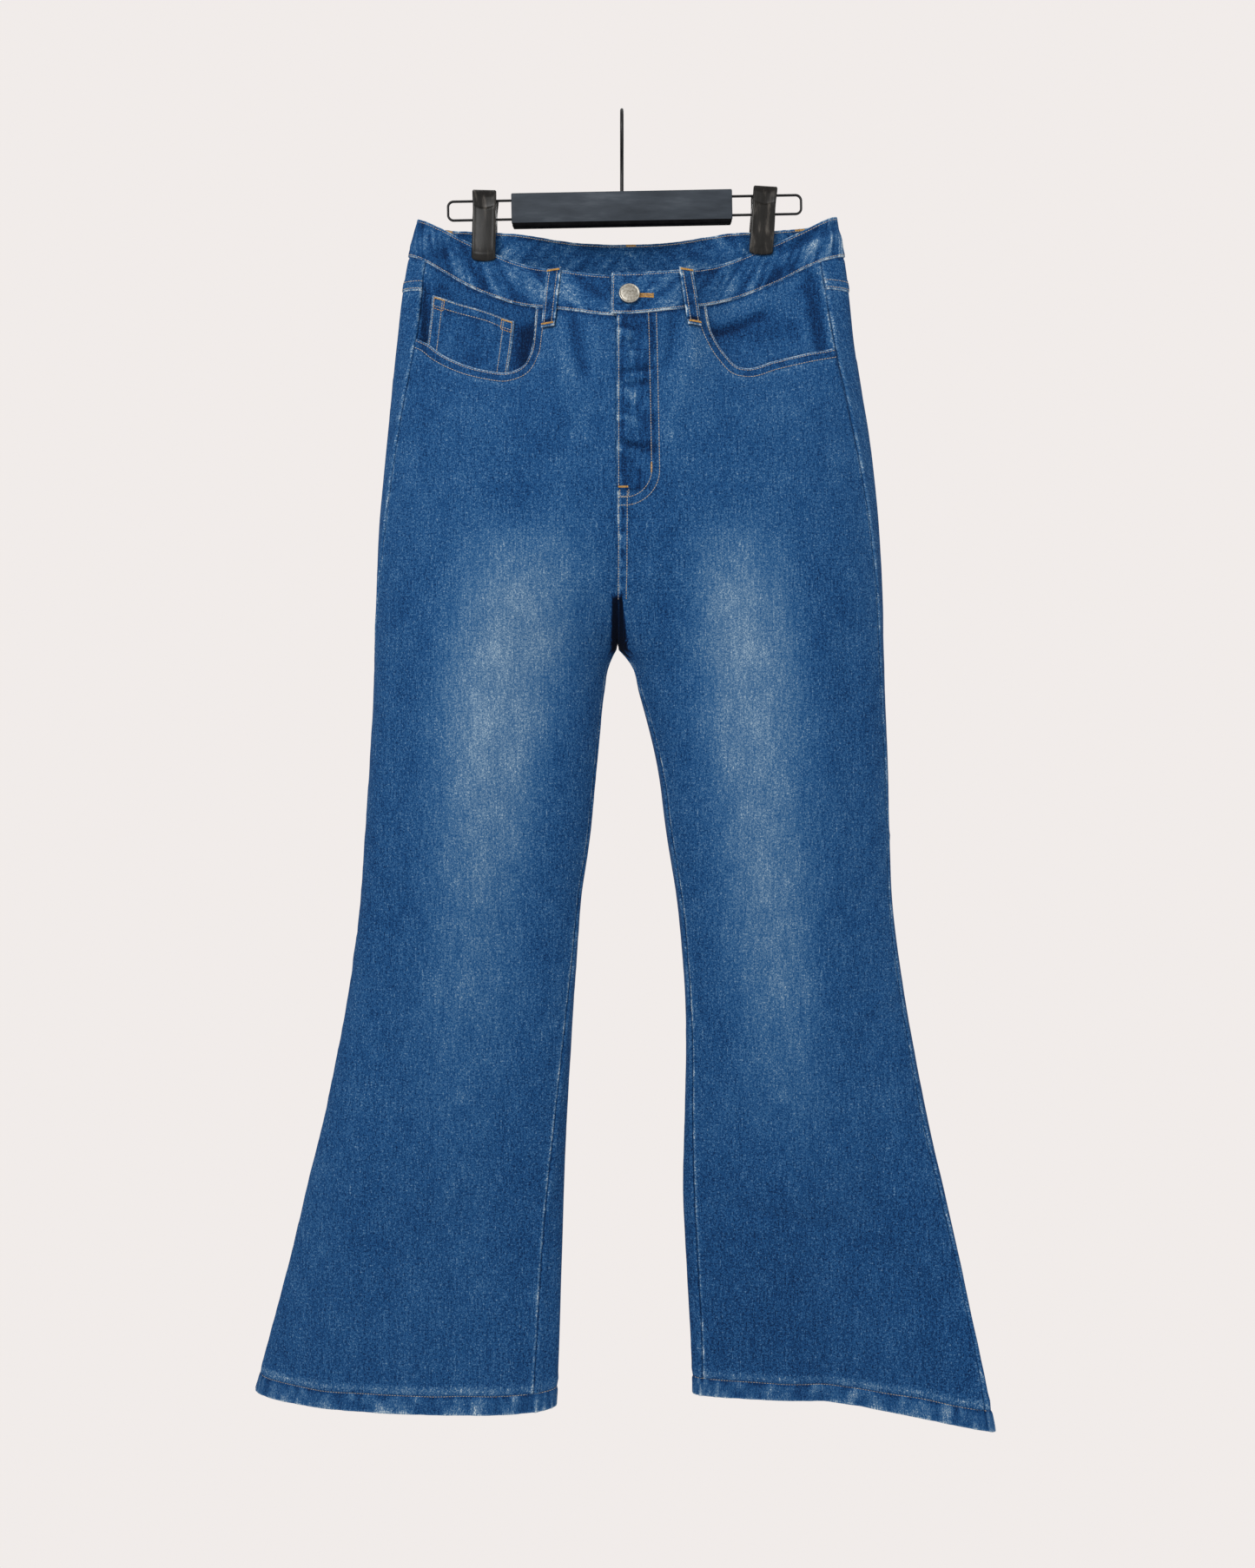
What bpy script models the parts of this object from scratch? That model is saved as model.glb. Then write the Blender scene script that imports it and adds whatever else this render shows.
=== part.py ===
"""Flared jeans hanging flat from a clip hanger, every piece a closed solid of its own.

Units are metres, +Z is up and -Y is the front of the jeans. The origin is the inner top of the
hanger's hook, where it rests on a rail. Right and left are the wearer's, so right is at -X.

Each half of the jeans is a ring at every level: an oval between an outer and an inner edge,
with one depth for the front and one for the back. Above the fork both halves share one oval,
which is pinched flat where the two clips hold it. Every cloth piece is a patch of that ring,
moved out or in by whole layers of cloth.
"""
import math

import bpy
import numpy as np
from mathutils import Vector

# Cloth
CLOTH = 0.0015            # one layer of denim
FOLDED = 0.003            # waistband and hems, folded double
SEAM = 0.0003             # air between two pieces
SEAM_HALF = SEAM * 0.6    # from the middle of a seam to the cloth on either side of it
CORNER_GAP = SEAM * 1.1   # the same where the cloth turns a sharp corner
EDGE_GAP = SEAM * 1.5     # air under the waistband's edge
LAYER = CLOTH + 0.0006    # from one layer of cloth to the next, with air for the facets
UNDER_LAYER = CLOTH + 0.0010   # the same where both layers bend with the clips' pinch

# Heights
FORK_Z = -0.300           # above this level both halves share one oval
PANEL_MID_Z = -0.420      # below this level a panel's rows are level
CROTCH_Z = -0.480
LOWER_LEG_Z = -0.800      # below this level the legs begin to turn
HEM_TOP_Z = -1.1385
HEM_Z = -1.155

# Centre seams
CENTRE_X = -0.0045        # centre front, and centre back at the crotch
CENTRE_BACK_TOP_X = 0.008
CROTCH_GAP = 0.001        # from the centre plane to each half where the halves face each other
CROTCH_BACK = 0.010       # how far the crotch point lies behind the middle
RIGHT_HEM_LEAN = -0.006   # right hem: the middle comes forward
RIGHT_HEM_TURN = 0.011    # right hem: its outer end turns back, its inner end forward
LEFT_HEM_SWING = -0.052   # left hem: its outer end swings forward
LEFT_HEM_FLATTEN = 0.5

# One row for each level of the body: the edges' distance from x = 0, the depth of the front
# and back, and how far the side seam and the inseam lie inside the edges, seen from the front
LEVEL_COLUMNS = (
    "z", "outer_right", "outer_left", "inner_right", "inner_left", "front", "back",
    "side_right", "side_left", "inseam_right", "inseam_left")
LEVELS = (
    (-0.090, 0.1820, 0.1925, 0.0055, -0.0035, 0.0260, 0.0260, 0.0170, 0.0228, 0.0000, 0.0000),
    (-0.130, 0.1920, 0.2000, 0.0055, -0.0035, 0.0280, 0.0270, 0.0170, 0.0229, 0.0000, 0.0000),
    (-0.209, 0.2030, 0.2095, 0.0055, -0.0035, 0.0420, 0.0410, 0.0190, 0.0205, 0.0000, 0.0000),
    (-0.289, 0.2110, 0.2225, 0.0055, -0.0035, 0.0480, 0.0570, 0.0128, 0.0172, 0.0000, 0.0000),
    (-0.367, 0.2180, 0.2308, 0.0055, -0.0035, 0.0480, 0.0600, 0.0087, 0.0118, 0.0000, 0.0000),
    (-0.446, 0.2210, 0.2350, 0.0055, -0.0035, 0.0470, 0.0580, 0.0030, 0.0079, 0.0000, 0.0000),
    (-0.480, 0.2220, 0.2355, 0.0055, -0.0035, 0.0460, 0.0550, 0.0004, 0.0072, 0.0000, 0.0000),
    (-0.493, 0.2225, 0.2360, 0.0115, 0.0075, 0.0455, 0.0545, 0.0000, 0.0070, 0.0005, 0.0010),
    (-0.524, 0.2235, 0.2370, 0.0172, 0.0168, 0.0445, 0.0520, 0.0000, 0.0066, 0.0010, 0.0025),
    (-0.587, 0.2265, 0.2395, 0.0232, 0.0325, 0.0425, 0.0470, 0.0000, 0.0053, 0.0017, 0.0038),
    (-0.650, 0.2305, 0.2415, 0.0290, 0.0410, 0.0390, 0.0420, 0.0000, 0.0044, 0.0022, 0.0039),
    (-0.713, 0.2350, 0.2440, 0.0380, 0.0510, 0.0350, 0.0370, 0.0000, 0.0050, 0.0026, 0.0039),
    (-0.775, 0.2430, 0.2515, 0.0424, 0.0565, 0.0320, 0.0340, 0.0000, 0.0055, 0.0040, 0.0039),
    (-0.838, 0.2540, 0.2615, 0.0462, 0.0588, 0.0310, 0.0330, 0.0000, 0.0058, 0.0069, 0.0048),
    (-0.901, 0.2668, 0.2730, 0.0498, 0.0575, 0.0300, 0.0320, 0.0000, 0.0062, 0.0099, 0.0062),
    (-0.964, 0.2825, 0.2855, 0.0525, 0.0558, 0.0280, 0.0300, 0.0000, 0.0050, 0.0138, 0.0090),
    (-1.036, 0.3000, 0.2990, 0.0545, 0.0590, 0.0260, 0.0280, 0.0000, 0.0031, 0.0175, 0.0094),
    (-1.089, 0.3140, 0.3085, 0.0557, 0.0620, 0.0250, 0.0260, 0.0000, 0.0031, 0.0190, 0.0094),
    (-1.155, 0.3320, 0.3190, 0.0585, 0.0655, 0.0240, 0.0250, 0.0000, 0.0053, 0.0200, 0.0075),
)

# The waistband's edges, a row for each point from the right corner to the left one
BAND_COLUMNS = ("x", "front_top", "front_seam", "back_top", "back_seam")
BAND_EDGES = (
    (-0.200, -0.0900, -0.1270, -0.0900, -0.1270),
    (-0.183, -0.0955, -0.1325, -0.0955, -0.1315),
    (-0.160, -0.1058, -0.1445, -0.1025, -0.1375),
    (-0.136, -0.1170, -0.1575, -0.1050, -0.1405),
    (-0.110, -0.1285, -0.1685, -0.1060, -0.1420),
    (-0.065, -0.1460, -0.1835, -0.1065, -0.1432),
    (-0.030, -0.1530, -0.1905, -0.1067, -0.1436),
    (0.000, -0.1545, -0.1932, -0.1067, -0.1437),
    (0.030, -0.1525, -0.1905, -0.1066, -0.1436),
    (0.068, -0.1452, -0.1812, -0.1063, -0.1432),
    (0.110, -0.1287, -0.1655, -0.1055, -0.1420),
    (0.138, -0.1170, -0.1537, -0.1040, -0.1403),
    (0.166, -0.1050, -0.1405, -0.1005, -0.1365),
    (0.193, -0.0930, -0.1315, -0.0930, -0.1310),
    (0.206, -0.0890, -0.1280, -0.0890, -0.1280),
)
BUTTON_END_X = -0.008     # free end of the waistband that lies on top
UNDER_END_X = 0.025       # hidden end under it
UNDER_DIP_X = -0.060      # from here to the top end the lower strip sinks under the upper one

# The yoke's seam falls from the sides to the centre back
YOKE_SIDE_Z = -0.161
YOKE_CENTRE_Z = -0.214

# Mouth of each scoop pocket, from the waistband to the side seam
SCOOPS = {
    "right": ((-0.076, -0.1800), (-0.078, -0.2060), (-0.081, -0.2240), (-0.087, -0.2360),
              (-0.100, -0.2415), (-0.119, -0.2390), (-0.144, -0.2305), (-0.163, -0.2200),
              (-0.174, -0.2110), (-0.185, -0.2060)),
    "left": ((0.0745, -0.1785), (0.078, -0.2010), (0.084, -0.2150), (0.093, -0.2280),
             (0.101, -0.2360), (0.110, -0.2375), (0.1335, -0.2300), (0.163, -0.2220),
             (0.1885, -0.2163)),
}
FACING_UNDER = 0.017      # facing hidden past the scoop's inner end
FACING_BELOW = 0.014      # and below its edge
MOUTH_LEVEL = 0.020       # so far from the mouth's edge the facing stays behind the panel
MOUTH_RISE = 0.029        # and over this distance it comes up level

# Coin pocket: corners as (x, z); its lower end runs on under the front panel
COIN_CORNERS = ((-0.1695, -0.1660), (-0.097, -0.1885), (-0.103, -0.2560), (-0.1755, -0.2300))

# Back pockets, between two of the back panel's columns; heights at their inner and outer edge
BACK_POCKET_TOP_Z = (-0.245, -0.222)
BACK_POCKET_FOOT_Z = (-0.372, -0.366)
BACK_POCKET_POINT = 0.0235

# Belt loops: name, x and z at the top, x and z at the bottom, on the back or not
LOOP_COLUMNS = ("name", "top_x", "top_z", "foot_x", "foot_z", "back")
LOOPS = (
    ("belt_loop_front_right", -0.0585, -0.1475, -0.0638, -0.2025, False),
    ("belt_loop_front_left", 0.0555, -0.1475, 0.0625, -0.2015, False),
    ("belt_loop_back_right", -0.1630, -0.1020, -0.1660, -0.1530, True),
    ("belt_loop_back_left", 0.1650, -0.1010, 0.1690, -0.1520, True),
    ("belt_loop_centre", 0.0080, -0.1065, 0.0080, -0.1570, True),
)
LOOP_WIDTH = 0.012

# Fly
FLY_WIDTH = 0.034
FLY_BOTTOM_Z = -0.362
FLY_ROUND = 0.030
ZIP_EDGES_X = (0.004, 0.026)
ZIP_ENDS_Z = (-0.198, -0.340)

# Waist button
BUTTON_X = 0.0065
BUTTON_Z = -0.1760
BUTTON_RADIUS = 0.0092
BUTTON_HEIGHT = 0.0032

# Clips and the pinch that they press into the cloth; a row for each clip
CLIP_COLUMNS = ("side", "x", "bottom_z", "lean_degrees", "pivot_height")
CLIPS = (
    ("right", -0.1245, -0.1320, -1.0, 0.0370),
    ("left", 0.1250, -0.1285, 3.5, 0.0385),
)
CLIP_WIDTH = 0.0215
CLIP_HEIGHT = 0.064
PINCH_DEPTH = 0.002       # from the middle plane to each folded layer inside a clip
PINCH_FLAT = 0.0145       # half of the stretch that the jaws press flat
PINCH_SPREAD = 0.034
PINCH_FULL_Z = -0.135     # full down to here
PINCH_END_Z = -0.300      # and gone here
GRIP_GAP = 0.00045        # between a jaw and the band, whose top edge is slightly faceted
SPRING_RADIUS = 0.003
SPRING_LENGTH = 0.012
SPRING_ABOVE_PIVOT = 0.0085

# Hanger
HANGER_TILT = math.radians(-1.1)
BAR_LENGTH = 0.199
BAR_HEIGHT = 0.0285
BAR_DEPTH = 0.009
BAR_Z = -0.08475
BAR_ROUNDING = 0.001
WIRE_RADIUS = 0.0011
WIRE_TOP_Z = -0.0755
WIRE_BOTTOM_Z = -0.0925
WIRE_CORNER = 0.005
WIRE_ENDS_X = {"right": -0.157, "left": 0.162}
WIRE_IN_BAR = 0.010       # how far the wires run into the bar's ends
HOOK_RADIUS = 0.0016
HOOK_INNER = 0.020        # inner radius of the crown
HOOK_SHANK_TURN = math.radians(60.0)
HOOK_TIP_TURN = math.radians(115.0)
SHANK_IN_BAR = 0.012

TINY = 1e-5               # step for measuring the cloth's slope
COLOURS = {
    "denim": ((0.022, 0.092, 0.232), 0.85, 0.0),
    "pewter": ((0.42, 0.38, 0.31), 0.38, 1.0),
    "zip_tape": ((0.020, 0.050, 0.110), 0.80, 0.0),
    "black_plastic": ((0.020, 0.019, 0.018), 0.42, 0.0),
    "charcoal_paint": ((0.030, 0.035, 0.042), 0.55, 0.0),
    "black_wire": ((0.012, 0.012, 0.014), 0.35, 1.0),
    "spring_steel": ((0.45, 0.45, 0.45), 0.35, 1.0),
}
SIGN = {"right": -1.0, "left": 1.0}
OTHER = {"right": "left", "left": "right"}


def table(columns, rows):
    """Turns rows under named columns into one array for each column."""
    return dict(zip(columns, np.array(rows, dtype=float).T))


LEVEL = table(LEVEL_COLUMNS, sorted(LEVELS))
BAND = table(BAND_COLUMNS, BAND_EDGES)


def smooth_curve(knots, values, at):
    """Cubic curve through a table's points, held level past its ends."""
    slopes = np.gradient(values, knots)
    at = np.clip(at, knots[0], knots[-1])
    i = np.clip(np.searchsorted(knots, at) - 1, 0, len(knots) - 2)
    step = knots[i + 1] - knots[i]
    t = (at - knots[i]) / step
    rise = values[i + 1] - values[i]
    bend = slopes[i] * step + slopes[i + 1] * step - 2.0 * rise
    return values[i] + t * (slopes[i] * step + t * (3.0 * rise - 2.0 * slopes[i] * step
                            - slopes[i + 1] * step + t * bend))


def level(name, z):
    """One column of the body's table at any height."""
    return smooth_curve(LEVEL["z"], LEVEL[name], z)


def band_edge(name, x):
    """Height of one of the waistband's edges at x."""
    return smooth_curve(BAND["x"], BAND[name], x)


def soft_step(t):
    """Goes from 0 to 1 with level ends."""
    t = np.clip(t, 0.0, 1.0)
    return t * t * (3.0 - 2.0 * t)


def oval(side, z):
    """Middle and half width of one half's ring, measured outwards from x = 0."""
    outer = level("outer_" + side, z)
    inner = level("inner_" + side, z)
    share = np.clip((z - CROTCH_Z) / (FORK_Z - CROTCH_Z), 0.0, 1.0) ** 1.2
    inner = inner - (level("outer_" + OTHER[side], z) + inner) * share
    return (outer + inner) / 2.0, (outer - inner) / 2.0


def pinch(x, z):
    """How flat the clips press the cloth, 0 to 1."""
    flat = np.zeros_like(x)
    for row in CLIPS:
        clip = dict(zip(CLIP_COLUMNS, row))
        away = np.maximum(np.abs(x - clip["x"]) - PINCH_FLAT, 0.0)
        flat = np.maximum(flat, np.exp(-0.5 * (away / PINCH_SPREAD) ** 2))
    return flat * (1.0 - soft_step((PINCH_FULL_Z - z) / (PINCH_FULL_Z - PINCH_END_Z)))


def on_ring(side, theta, z):
    """Point of the cloth's middle surface. Theta is 0 at the ring's inner edge, pi at its
    outer edge, and runs over the front first."""
    theta, z = np.broadcast_arrays(np.asarray(theta, float), np.asarray(z, float))
    middle, half = oval(side, z)
    x = SIGN[side] * (middle - half * np.cos(theta))
    turn = np.clip((LOWER_LEG_Z - z) / (LOWER_LEG_Z - HEM_Z), 0.0, 1.0) ** 1.5
    across = -np.cos(theta)
    near_crotch = np.exp(-((z - CROTCH_Z) / 0.12) ** 2)
    centre = CROTCH_BACK * near_crotch * ((1.0 - across) / 2.0) ** 2
    if side == "right":
        centre = centre + turn * (RIGHT_HEM_LEAN + RIGHT_HEM_TURN * across)
        flatten = 1.0
    else:
        centre = centre + turn * LEFT_HEM_SWING * np.clip((across + 0.1) / 1.1, 0.0, 1.0) ** 1.3
        flatten = 1.0 - LEFT_HEM_FLATTEN * turn
    wave = np.sin(theta)
    depth = np.where(wave > 0.0, level("front", z), level("back", z)) * np.abs(wave) * flatten
    depth = depth - np.maximum(depth - PINCH_DEPTH, 0.0) * pinch(x, z)
    return np.stack((x, centre - np.sign(wave) * depth, z), axis=-1)


def cloth(side, theta, z, out=0.0):
    """Point of the cloth, moved out along its own slope by the distance out."""
    across = on_ring(side, theta + TINY, z) - on_ring(side, theta - TINY, z)
    along = on_ring(side, theta, z + TINY) - on_ring(side, theta, z - TINY)
    normal = np.cross(across, along) * SIGN[side]
    normal /= np.linalg.norm(normal, axis=-1, keepdims=True)
    return on_ring(side, theta, z) + normal * np.asarray(out)[..., None]


def theta_at(side, x, z, back=False):
    """Angle on the ring of the point at x, on the front or on the back."""
    middle, half = oval(side, z)
    theta = np.arccos(np.clip((middle - SIGN[side] * x) / half, -1.0, 1.0))
    return 2.0 * math.pi - theta if back else theta


def arc_speed(side, theta, z):
    """Distance along the ring for each radian of theta."""
    step = on_ring(side, theta + TINY, z) - on_ring(side, theta - TINY, z)
    return np.linalg.norm(step, axis=-1) / (2.0 * TINY)


def centre_x(z, back):
    """The centre seam's x; at the back it drifts over towards the waist."""
    if not back:
        return CENTRE_X + np.zeros_like(z)
    drift = soft_step((z - PANEL_MID_Z) / (YOKE_SIDE_Z - PANEL_MID_Z))
    return CENTRE_X + (CENTRE_BACK_TOP_X - CENTRE_X) * drift


def inner_theta(side, z, back=False):
    """Angle of the centre seam above the crotch and of the inseam below it. The halves stand
    further apart where they turn face to face, because their walls have a thickness."""
    z = np.asarray(z, float)
    middle, half = oval(side, z)
    facing = np.clip(middle / half, 0.0, 0.9999)
    steep = level("back" if back else "front", z) / half * facing / np.sqrt(1.0 - facing ** 2)
    apart = SEAM_HALF + (CROTCH_GAP - SEAM_HALF) * steep / np.sqrt(1.0 + steep ** 2)
    centre = theta_at(side, centre_x(z, back) + SIGN[side] * apart, z)
    inseam = np.arccos(np.clip(1.0 - level("inseam_" + side, z) / half, -1.0, 1.0))
    gap = CORNER_GAP / arc_speed(side, inseam, z)
    below = z < CROTCH_Z
    if back:
        return 2.0 * math.pi + np.where(below, inseam - gap, -centre)
    return np.where(below, inseam + gap, centre)


def side_theta(side, z, back=False):
    """Angle of the side seam, with half a seam's air on either side."""
    z = np.asarray(z, float)
    half = oval(side, z)[1]
    seam = math.pi - np.arccos(np.clip(1.0 - level("side_" + side, z) / half, -1.0, 1.0))
    gap = CORNER_GAP / arc_speed(side, seam, z)
    return seam + gap if back else seam - gap


def yoke_seam(side, theta, z):
    """Height of the yoke's seam: level round the side, falling to the centre back."""
    middle, half = oval(side, z)
    reach = (middle - half * np.cos(theta)) / (middle + half)
    reach = np.where(theta < math.pi, 1.0, reach)
    return YOKE_CENTRE_Z + (YOKE_SIDE_Z - YOKE_CENTRE_Z) * np.clip(reach, 0.0, 1.0)


def spread(count, ends):
    """Fractions from 0 to 1, drawn towards both ends where the ring turns sharply."""
    t = np.linspace(0.0, 1.0, count)
    return ends * (1.0 - np.cos(math.pi * t)) / 2.0 + (1.0 - ends) * t


def distance_to_line(x, z, line):
    """Shortest distance from points to a line of straight stretches."""
    line = np.array(line)
    point = np.stack((x, z), axis=-1)[..., None, :]
    start, run = line[:-1], np.diff(line, axis=0)
    share = np.clip(((point - start) * run).sum(-1) / (run ** 2).sum(-1), 0.0, 1.0)
    return np.linalg.norm(point - start - share[..., None] * run, axis=-1).min(-1)


def mouth_line(side):
    """The scoop's points by growing x, as arrays."""
    points = np.array(sorted(SCOOPS[side]))
    return points[:, 0], points[:, 1]


def facing_offset(side, x, z):
    """Depth of a pocket facing: layers below the front panel at the mouth, level inside it."""
    deepest = -2.0 * UNDER_LAYER if side == "right" else -UNDER_LAYER
    xs, zs = mouth_line(side)
    inside = (z > np.interp(x, xs, zs)) & (SIGN[side] * x > SIGN[side] * SCOOPS[side][0][0])
    away = np.where(inside, distance_to_line(x, z, SCOOPS[side]), 0.0)
    return deepest * (1.0 - soft_step((away - MOUTH_LEVEL) / MOUTH_RISE))


BACK_SHARES = spread(15, 0.6)
BACK_POCKET_COLUMNS = slice(2, 8)


# Making objects

def collection(name):
    made = bpy.data.collections.new(name)
    bpy.context.scene.collection.children.link(made)
    return made


def material(name):
    colour, roughness, metallic = COLOURS[name]
    made = bpy.data.materials.new(name)
    made.use_nodes = True
    shader = made.node_tree.nodes["Principled BSDF"]
    shader.inputs["Base Color"].default_value = (*colour, 1.0)
    shader.inputs["Roughness"].default_value = roughness
    shader.inputs["Metallic"].default_value = metallic
    made.diffuse_color = (*colour, 1.0)
    return made


def add(name, data, finish):
    """Puts mesh or curve data into the model under its own name and material."""
    made = bpy.data.objects.new(name, data)
    data.materials.append(MATERIALS[finish])
    JEANS.objects.link(made)
    return made


def cloth_piece(name, points, thickness=CLOTH, closed=False, finish="denim"):
    """A grid of points as an open surface, given its wall by Solidify."""
    rows, columns = points.shape[:2]
    number = np.arange(rows * columns).reshape(rows, columns)
    if closed:
        number = np.concatenate((number, number[:, :1]), axis=1)
    quads = np.stack((number[:-1, :-1], number[:-1, 1:], number[1:, 1:], number[1:, :-1]), axis=-1)
    mesh = bpy.data.meshes.new(name)
    mesh.from_pydata(points.reshape(-1, 3).tolist(), [], quads.reshape(-1, 4).tolist())
    made = add(name, mesh, finish)
    wall = made.modifiers.new("wall", "SOLIDIFY")
    wall.thickness = thickness
    wall.offset = 0.0
    return made


# Cloth

def front_top(side, seam_columns=4, scoop_columns=10):
    """Top edge of a front panel: along the waistband, then round the pocket's mouth."""
    scoop = np.array(SCOOPS[side])
    centre = CENTRE_X + SIGN[side] * SEAM
    flat_x = np.linspace(centre, scoop[0, 0], seam_columns + 1)
    flat_z = band_edge("front_seam", flat_x) - EDGE_GAP
    length = np.concatenate(([0.0], np.cumsum(np.linalg.norm(np.diff(scoop, axis=0), axis=1))))
    at = length[-1] * spread(scoop_columns + 1, 0.6)[1:]
    scoop_x = smooth_curve(length, scoop[:, 0], at)
    scoop_z = smooth_curve(length, scoop[:, 1], at)
    return np.concatenate((flat_x, scoop_x)), np.concatenate((flat_z, scoop_z))


LEG_ROWS = np.array((
    -0.437, -0.452, -0.464, -0.473, -0.4795, -0.4805, -0.486, -0.497, -0.520, -0.560,
    -0.620, -0.690, -0.755, -0.815, -0.875, -0.935, -0.995, -1.050, -1.100, HEM_TOP_Z + SEAM / 2))


def between_seams(side, share, z, back):
    """Angle that lies a share of the way from the centre seam or inseam to the side seam."""
    inner = inner_theta(side, z, back)
    return inner + (side_theta(side, z, back) - inner) * share


def panel_rows(top_z, upper_rows=6):
    """Heights of a leg panel's points: down from its top edge to the middle level, then level
    to the hem. With them, how far each row has come from the top edge's columns to the leg's."""
    down = np.linspace(0.0, 1.0, upper_rows + 1)[:, None]
    z = np.concatenate((top_z + (PANEL_MID_Z - top_z) * down,
                        LEG_ROWS[:, None] + np.zeros(len(top_z))))
    return z, np.concatenate((soft_step(down), np.ones((len(LEG_ROWS), 1))))


def make_front(side):
    x, top_z = front_top(side)
    inner, outer = inner_theta(side, top_z), side_theta(side, top_z)
    top_share = np.clip((theta_at(side, x, top_z) - inner) / (outer - inner), 0.0, 1.0)
    top_share[0], top_share[-1] = 0.0, 1.0
    z, blend = panel_rows(top_z)
    share = top_share + (spread(len(x), 0.8) - top_share) * blend
    cloth_piece("front_" + side, cloth(side, between_seams(side, share, z, False), z))


def make_back(side):
    """Back panel and the yoke above it, which share the yoke's seam and their columns."""
    seam_z = np.full(len(BACK_SHARES), YOKE_SIDE_Z)
    top_z = seam_z.copy()
    for _ in range(6):
        seam_z = yoke_seam(side, between_seams(side, BACK_SHARES, seam_z, True), seam_z)
        theta = between_seams(side, BACK_SHARES, top_z, True)
        x = on_ring(side, theta, top_z)[:, 0]
        edge = np.where(theta < math.pi, band_edge("front_seam", x), band_edge("back_seam", x))
        top_z = edge - EDGE_GAP
    z = panel_rows(seam_z - SEAM / 2)[0]
    cloth_piece("back_" + side, cloth(side, between_seams(side, BACK_SHARES, z, True), z))
    z = top_z + (seam_z + SEAM / 2 - top_z) * np.linspace(0.0, 1.0, 4)[:, None]
    cloth_piece("yoke_" + side, cloth(side, between_seams(side, BACK_SHARES, z, True), z))


def make_waistband(columns=64):
    """One strip round the waist; its lower end sinks under the upper one at the front."""
    middle_z = -0.130
    start = float(theta_at("left", BUTTON_END_X, middle_z))
    end = 2.0 * math.pi + float(theta_at("left", UNDER_END_X, middle_z))
    corners = np.array((start, math.pi, 2.0 * math.pi, end))
    counts = (columns // 4, columns // 2, columns // 4)
    pieces = [low + (high - low) * spread(count + 1, 0.7)[:-1]
              for low, high, count in zip(corners[:-1], corners[1:], counts)]
    theta = np.concatenate(pieces + [corners[-1:]])
    front = np.sin(theta) > 0.0
    lap = theta > 2.0 * math.pi
    rows = []
    for share in (0.0, 0.5, 1.0):
        z = np.full(len(theta), middle_z)
        for _ in range(8):
            x = on_ring("left", theta, z)[:, 0]
            top = np.where(front, band_edge("front_top", x), band_edge("back_top", x))
            low = np.where(front, band_edge("front_seam", x), band_edge("back_seam", x))
            z = top + (low - top) * share
        sink = soft_step((x - UNDER_DIP_X) / (BUTTON_END_X - 0.006 - UNDER_DIP_X)) * lap
        rows.append(cloth("left", theta, z, -(FOLDED + SEAM) * sink))
    cloth_piece("waistband", np.array(rows), FOLDED)


def make_hem(side, columns=30):
    """Folded ring under a leg's panels."""
    half = columns // 2
    theta = np.concatenate((math.pi * spread(half + 1, 0.8)[:-1],
                            math.pi + math.pi * spread(half + 1, 0.8)[:-1]))
    z = np.array((HEM_TOP_Z - SEAM / 2, HEM_Z))[:, None]
    cloth_piece("hem_" + side, cloth(side, theta + 0.0 * z, z + 0.0 * theta), FOLDED, closed=True)


def make_facing(side, columns=14, rows=6):
    """Cloth seen inside a scoop pocket, reaching in under the front panel."""
    sign = SIGN[side]
    inner = abs(SCOOPS[side][0][0]) - FACING_UNDER
    share = spread(columns, 0.4)
    mouth_floor = min(z for x, z in SCOOPS[side])
    grid = []
    for down in np.linspace(0.0, 1.0, rows):
        z = np.full(columns, -0.18)
        for _ in range(6):
            start = theta_at(side, sign * inner, z)
            theta = start + (side_theta(side, z) - start) * share
            x = on_ring(side, theta, z)[:, 0]
            top = band_edge("front_seam", x) - EDGE_GAP
            low = np.interp(x, *mouth_line(side), left=mouth_floor, right=mouth_floor)
            low = np.minimum(low, np.where(sign * x < abs(SCOOPS[side][4][0]), mouth_floor, low))
            z = top + (low - FACING_BELOW - top) * down
        grid.append(cloth(side, theta, z, facing_offset(side, x, z)))
    cloth_piece("pocket_facing_" + side, np.array(grid))


def quad_grid(corners, columns, rows):
    """Points spread evenly between four corners given round the outline."""
    corners = np.array(corners)
    s = np.linspace(0.0, 1.0, columns)[None, :, None]
    t = np.linspace(0.0, 1.0, rows)[:, None, None]
    top = corners[0] + (corners[1] - corners[0]) * s
    low = corners[3] + (corners[2] - corners[3]) * s
    return top + (low - top) * t


def make_coin_pocket():
    grid = quad_grid(COIN_CORNERS, 7, 6)
    x, z = grid[..., 0], grid[..., 1]
    out = facing_offset("right", x, z) + UNDER_LAYER
    cloth_piece("coin_pocket", cloth("right", theta_at("right", x, z), z, out))


def make_back_pocket(side, rows=6):
    """Patch pocket on the back panel's own columns, moved out by a layer."""
    share = BACK_SHARES[BACK_POCKET_COLUMNS]
    across = np.linspace(0.0, 1.0, len(share))
    top = np.interp(across, (0.0, 1.0), BACK_POCKET_TOP_Z)
    foot = np.interp(across, (0.0, 1.0), BACK_POCKET_FOOT_Z)
    foot = foot - BACK_POCKET_POINT * (1.0 - np.abs(2.0 * across - 1.0))
    z = top + (foot - top) * np.linspace(0.0, 1.0, rows)[:, None]
    cloth_piece("back_pocket_" + side, cloth(side, between_seams(side, share, z, True), z, LAYER))


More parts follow.
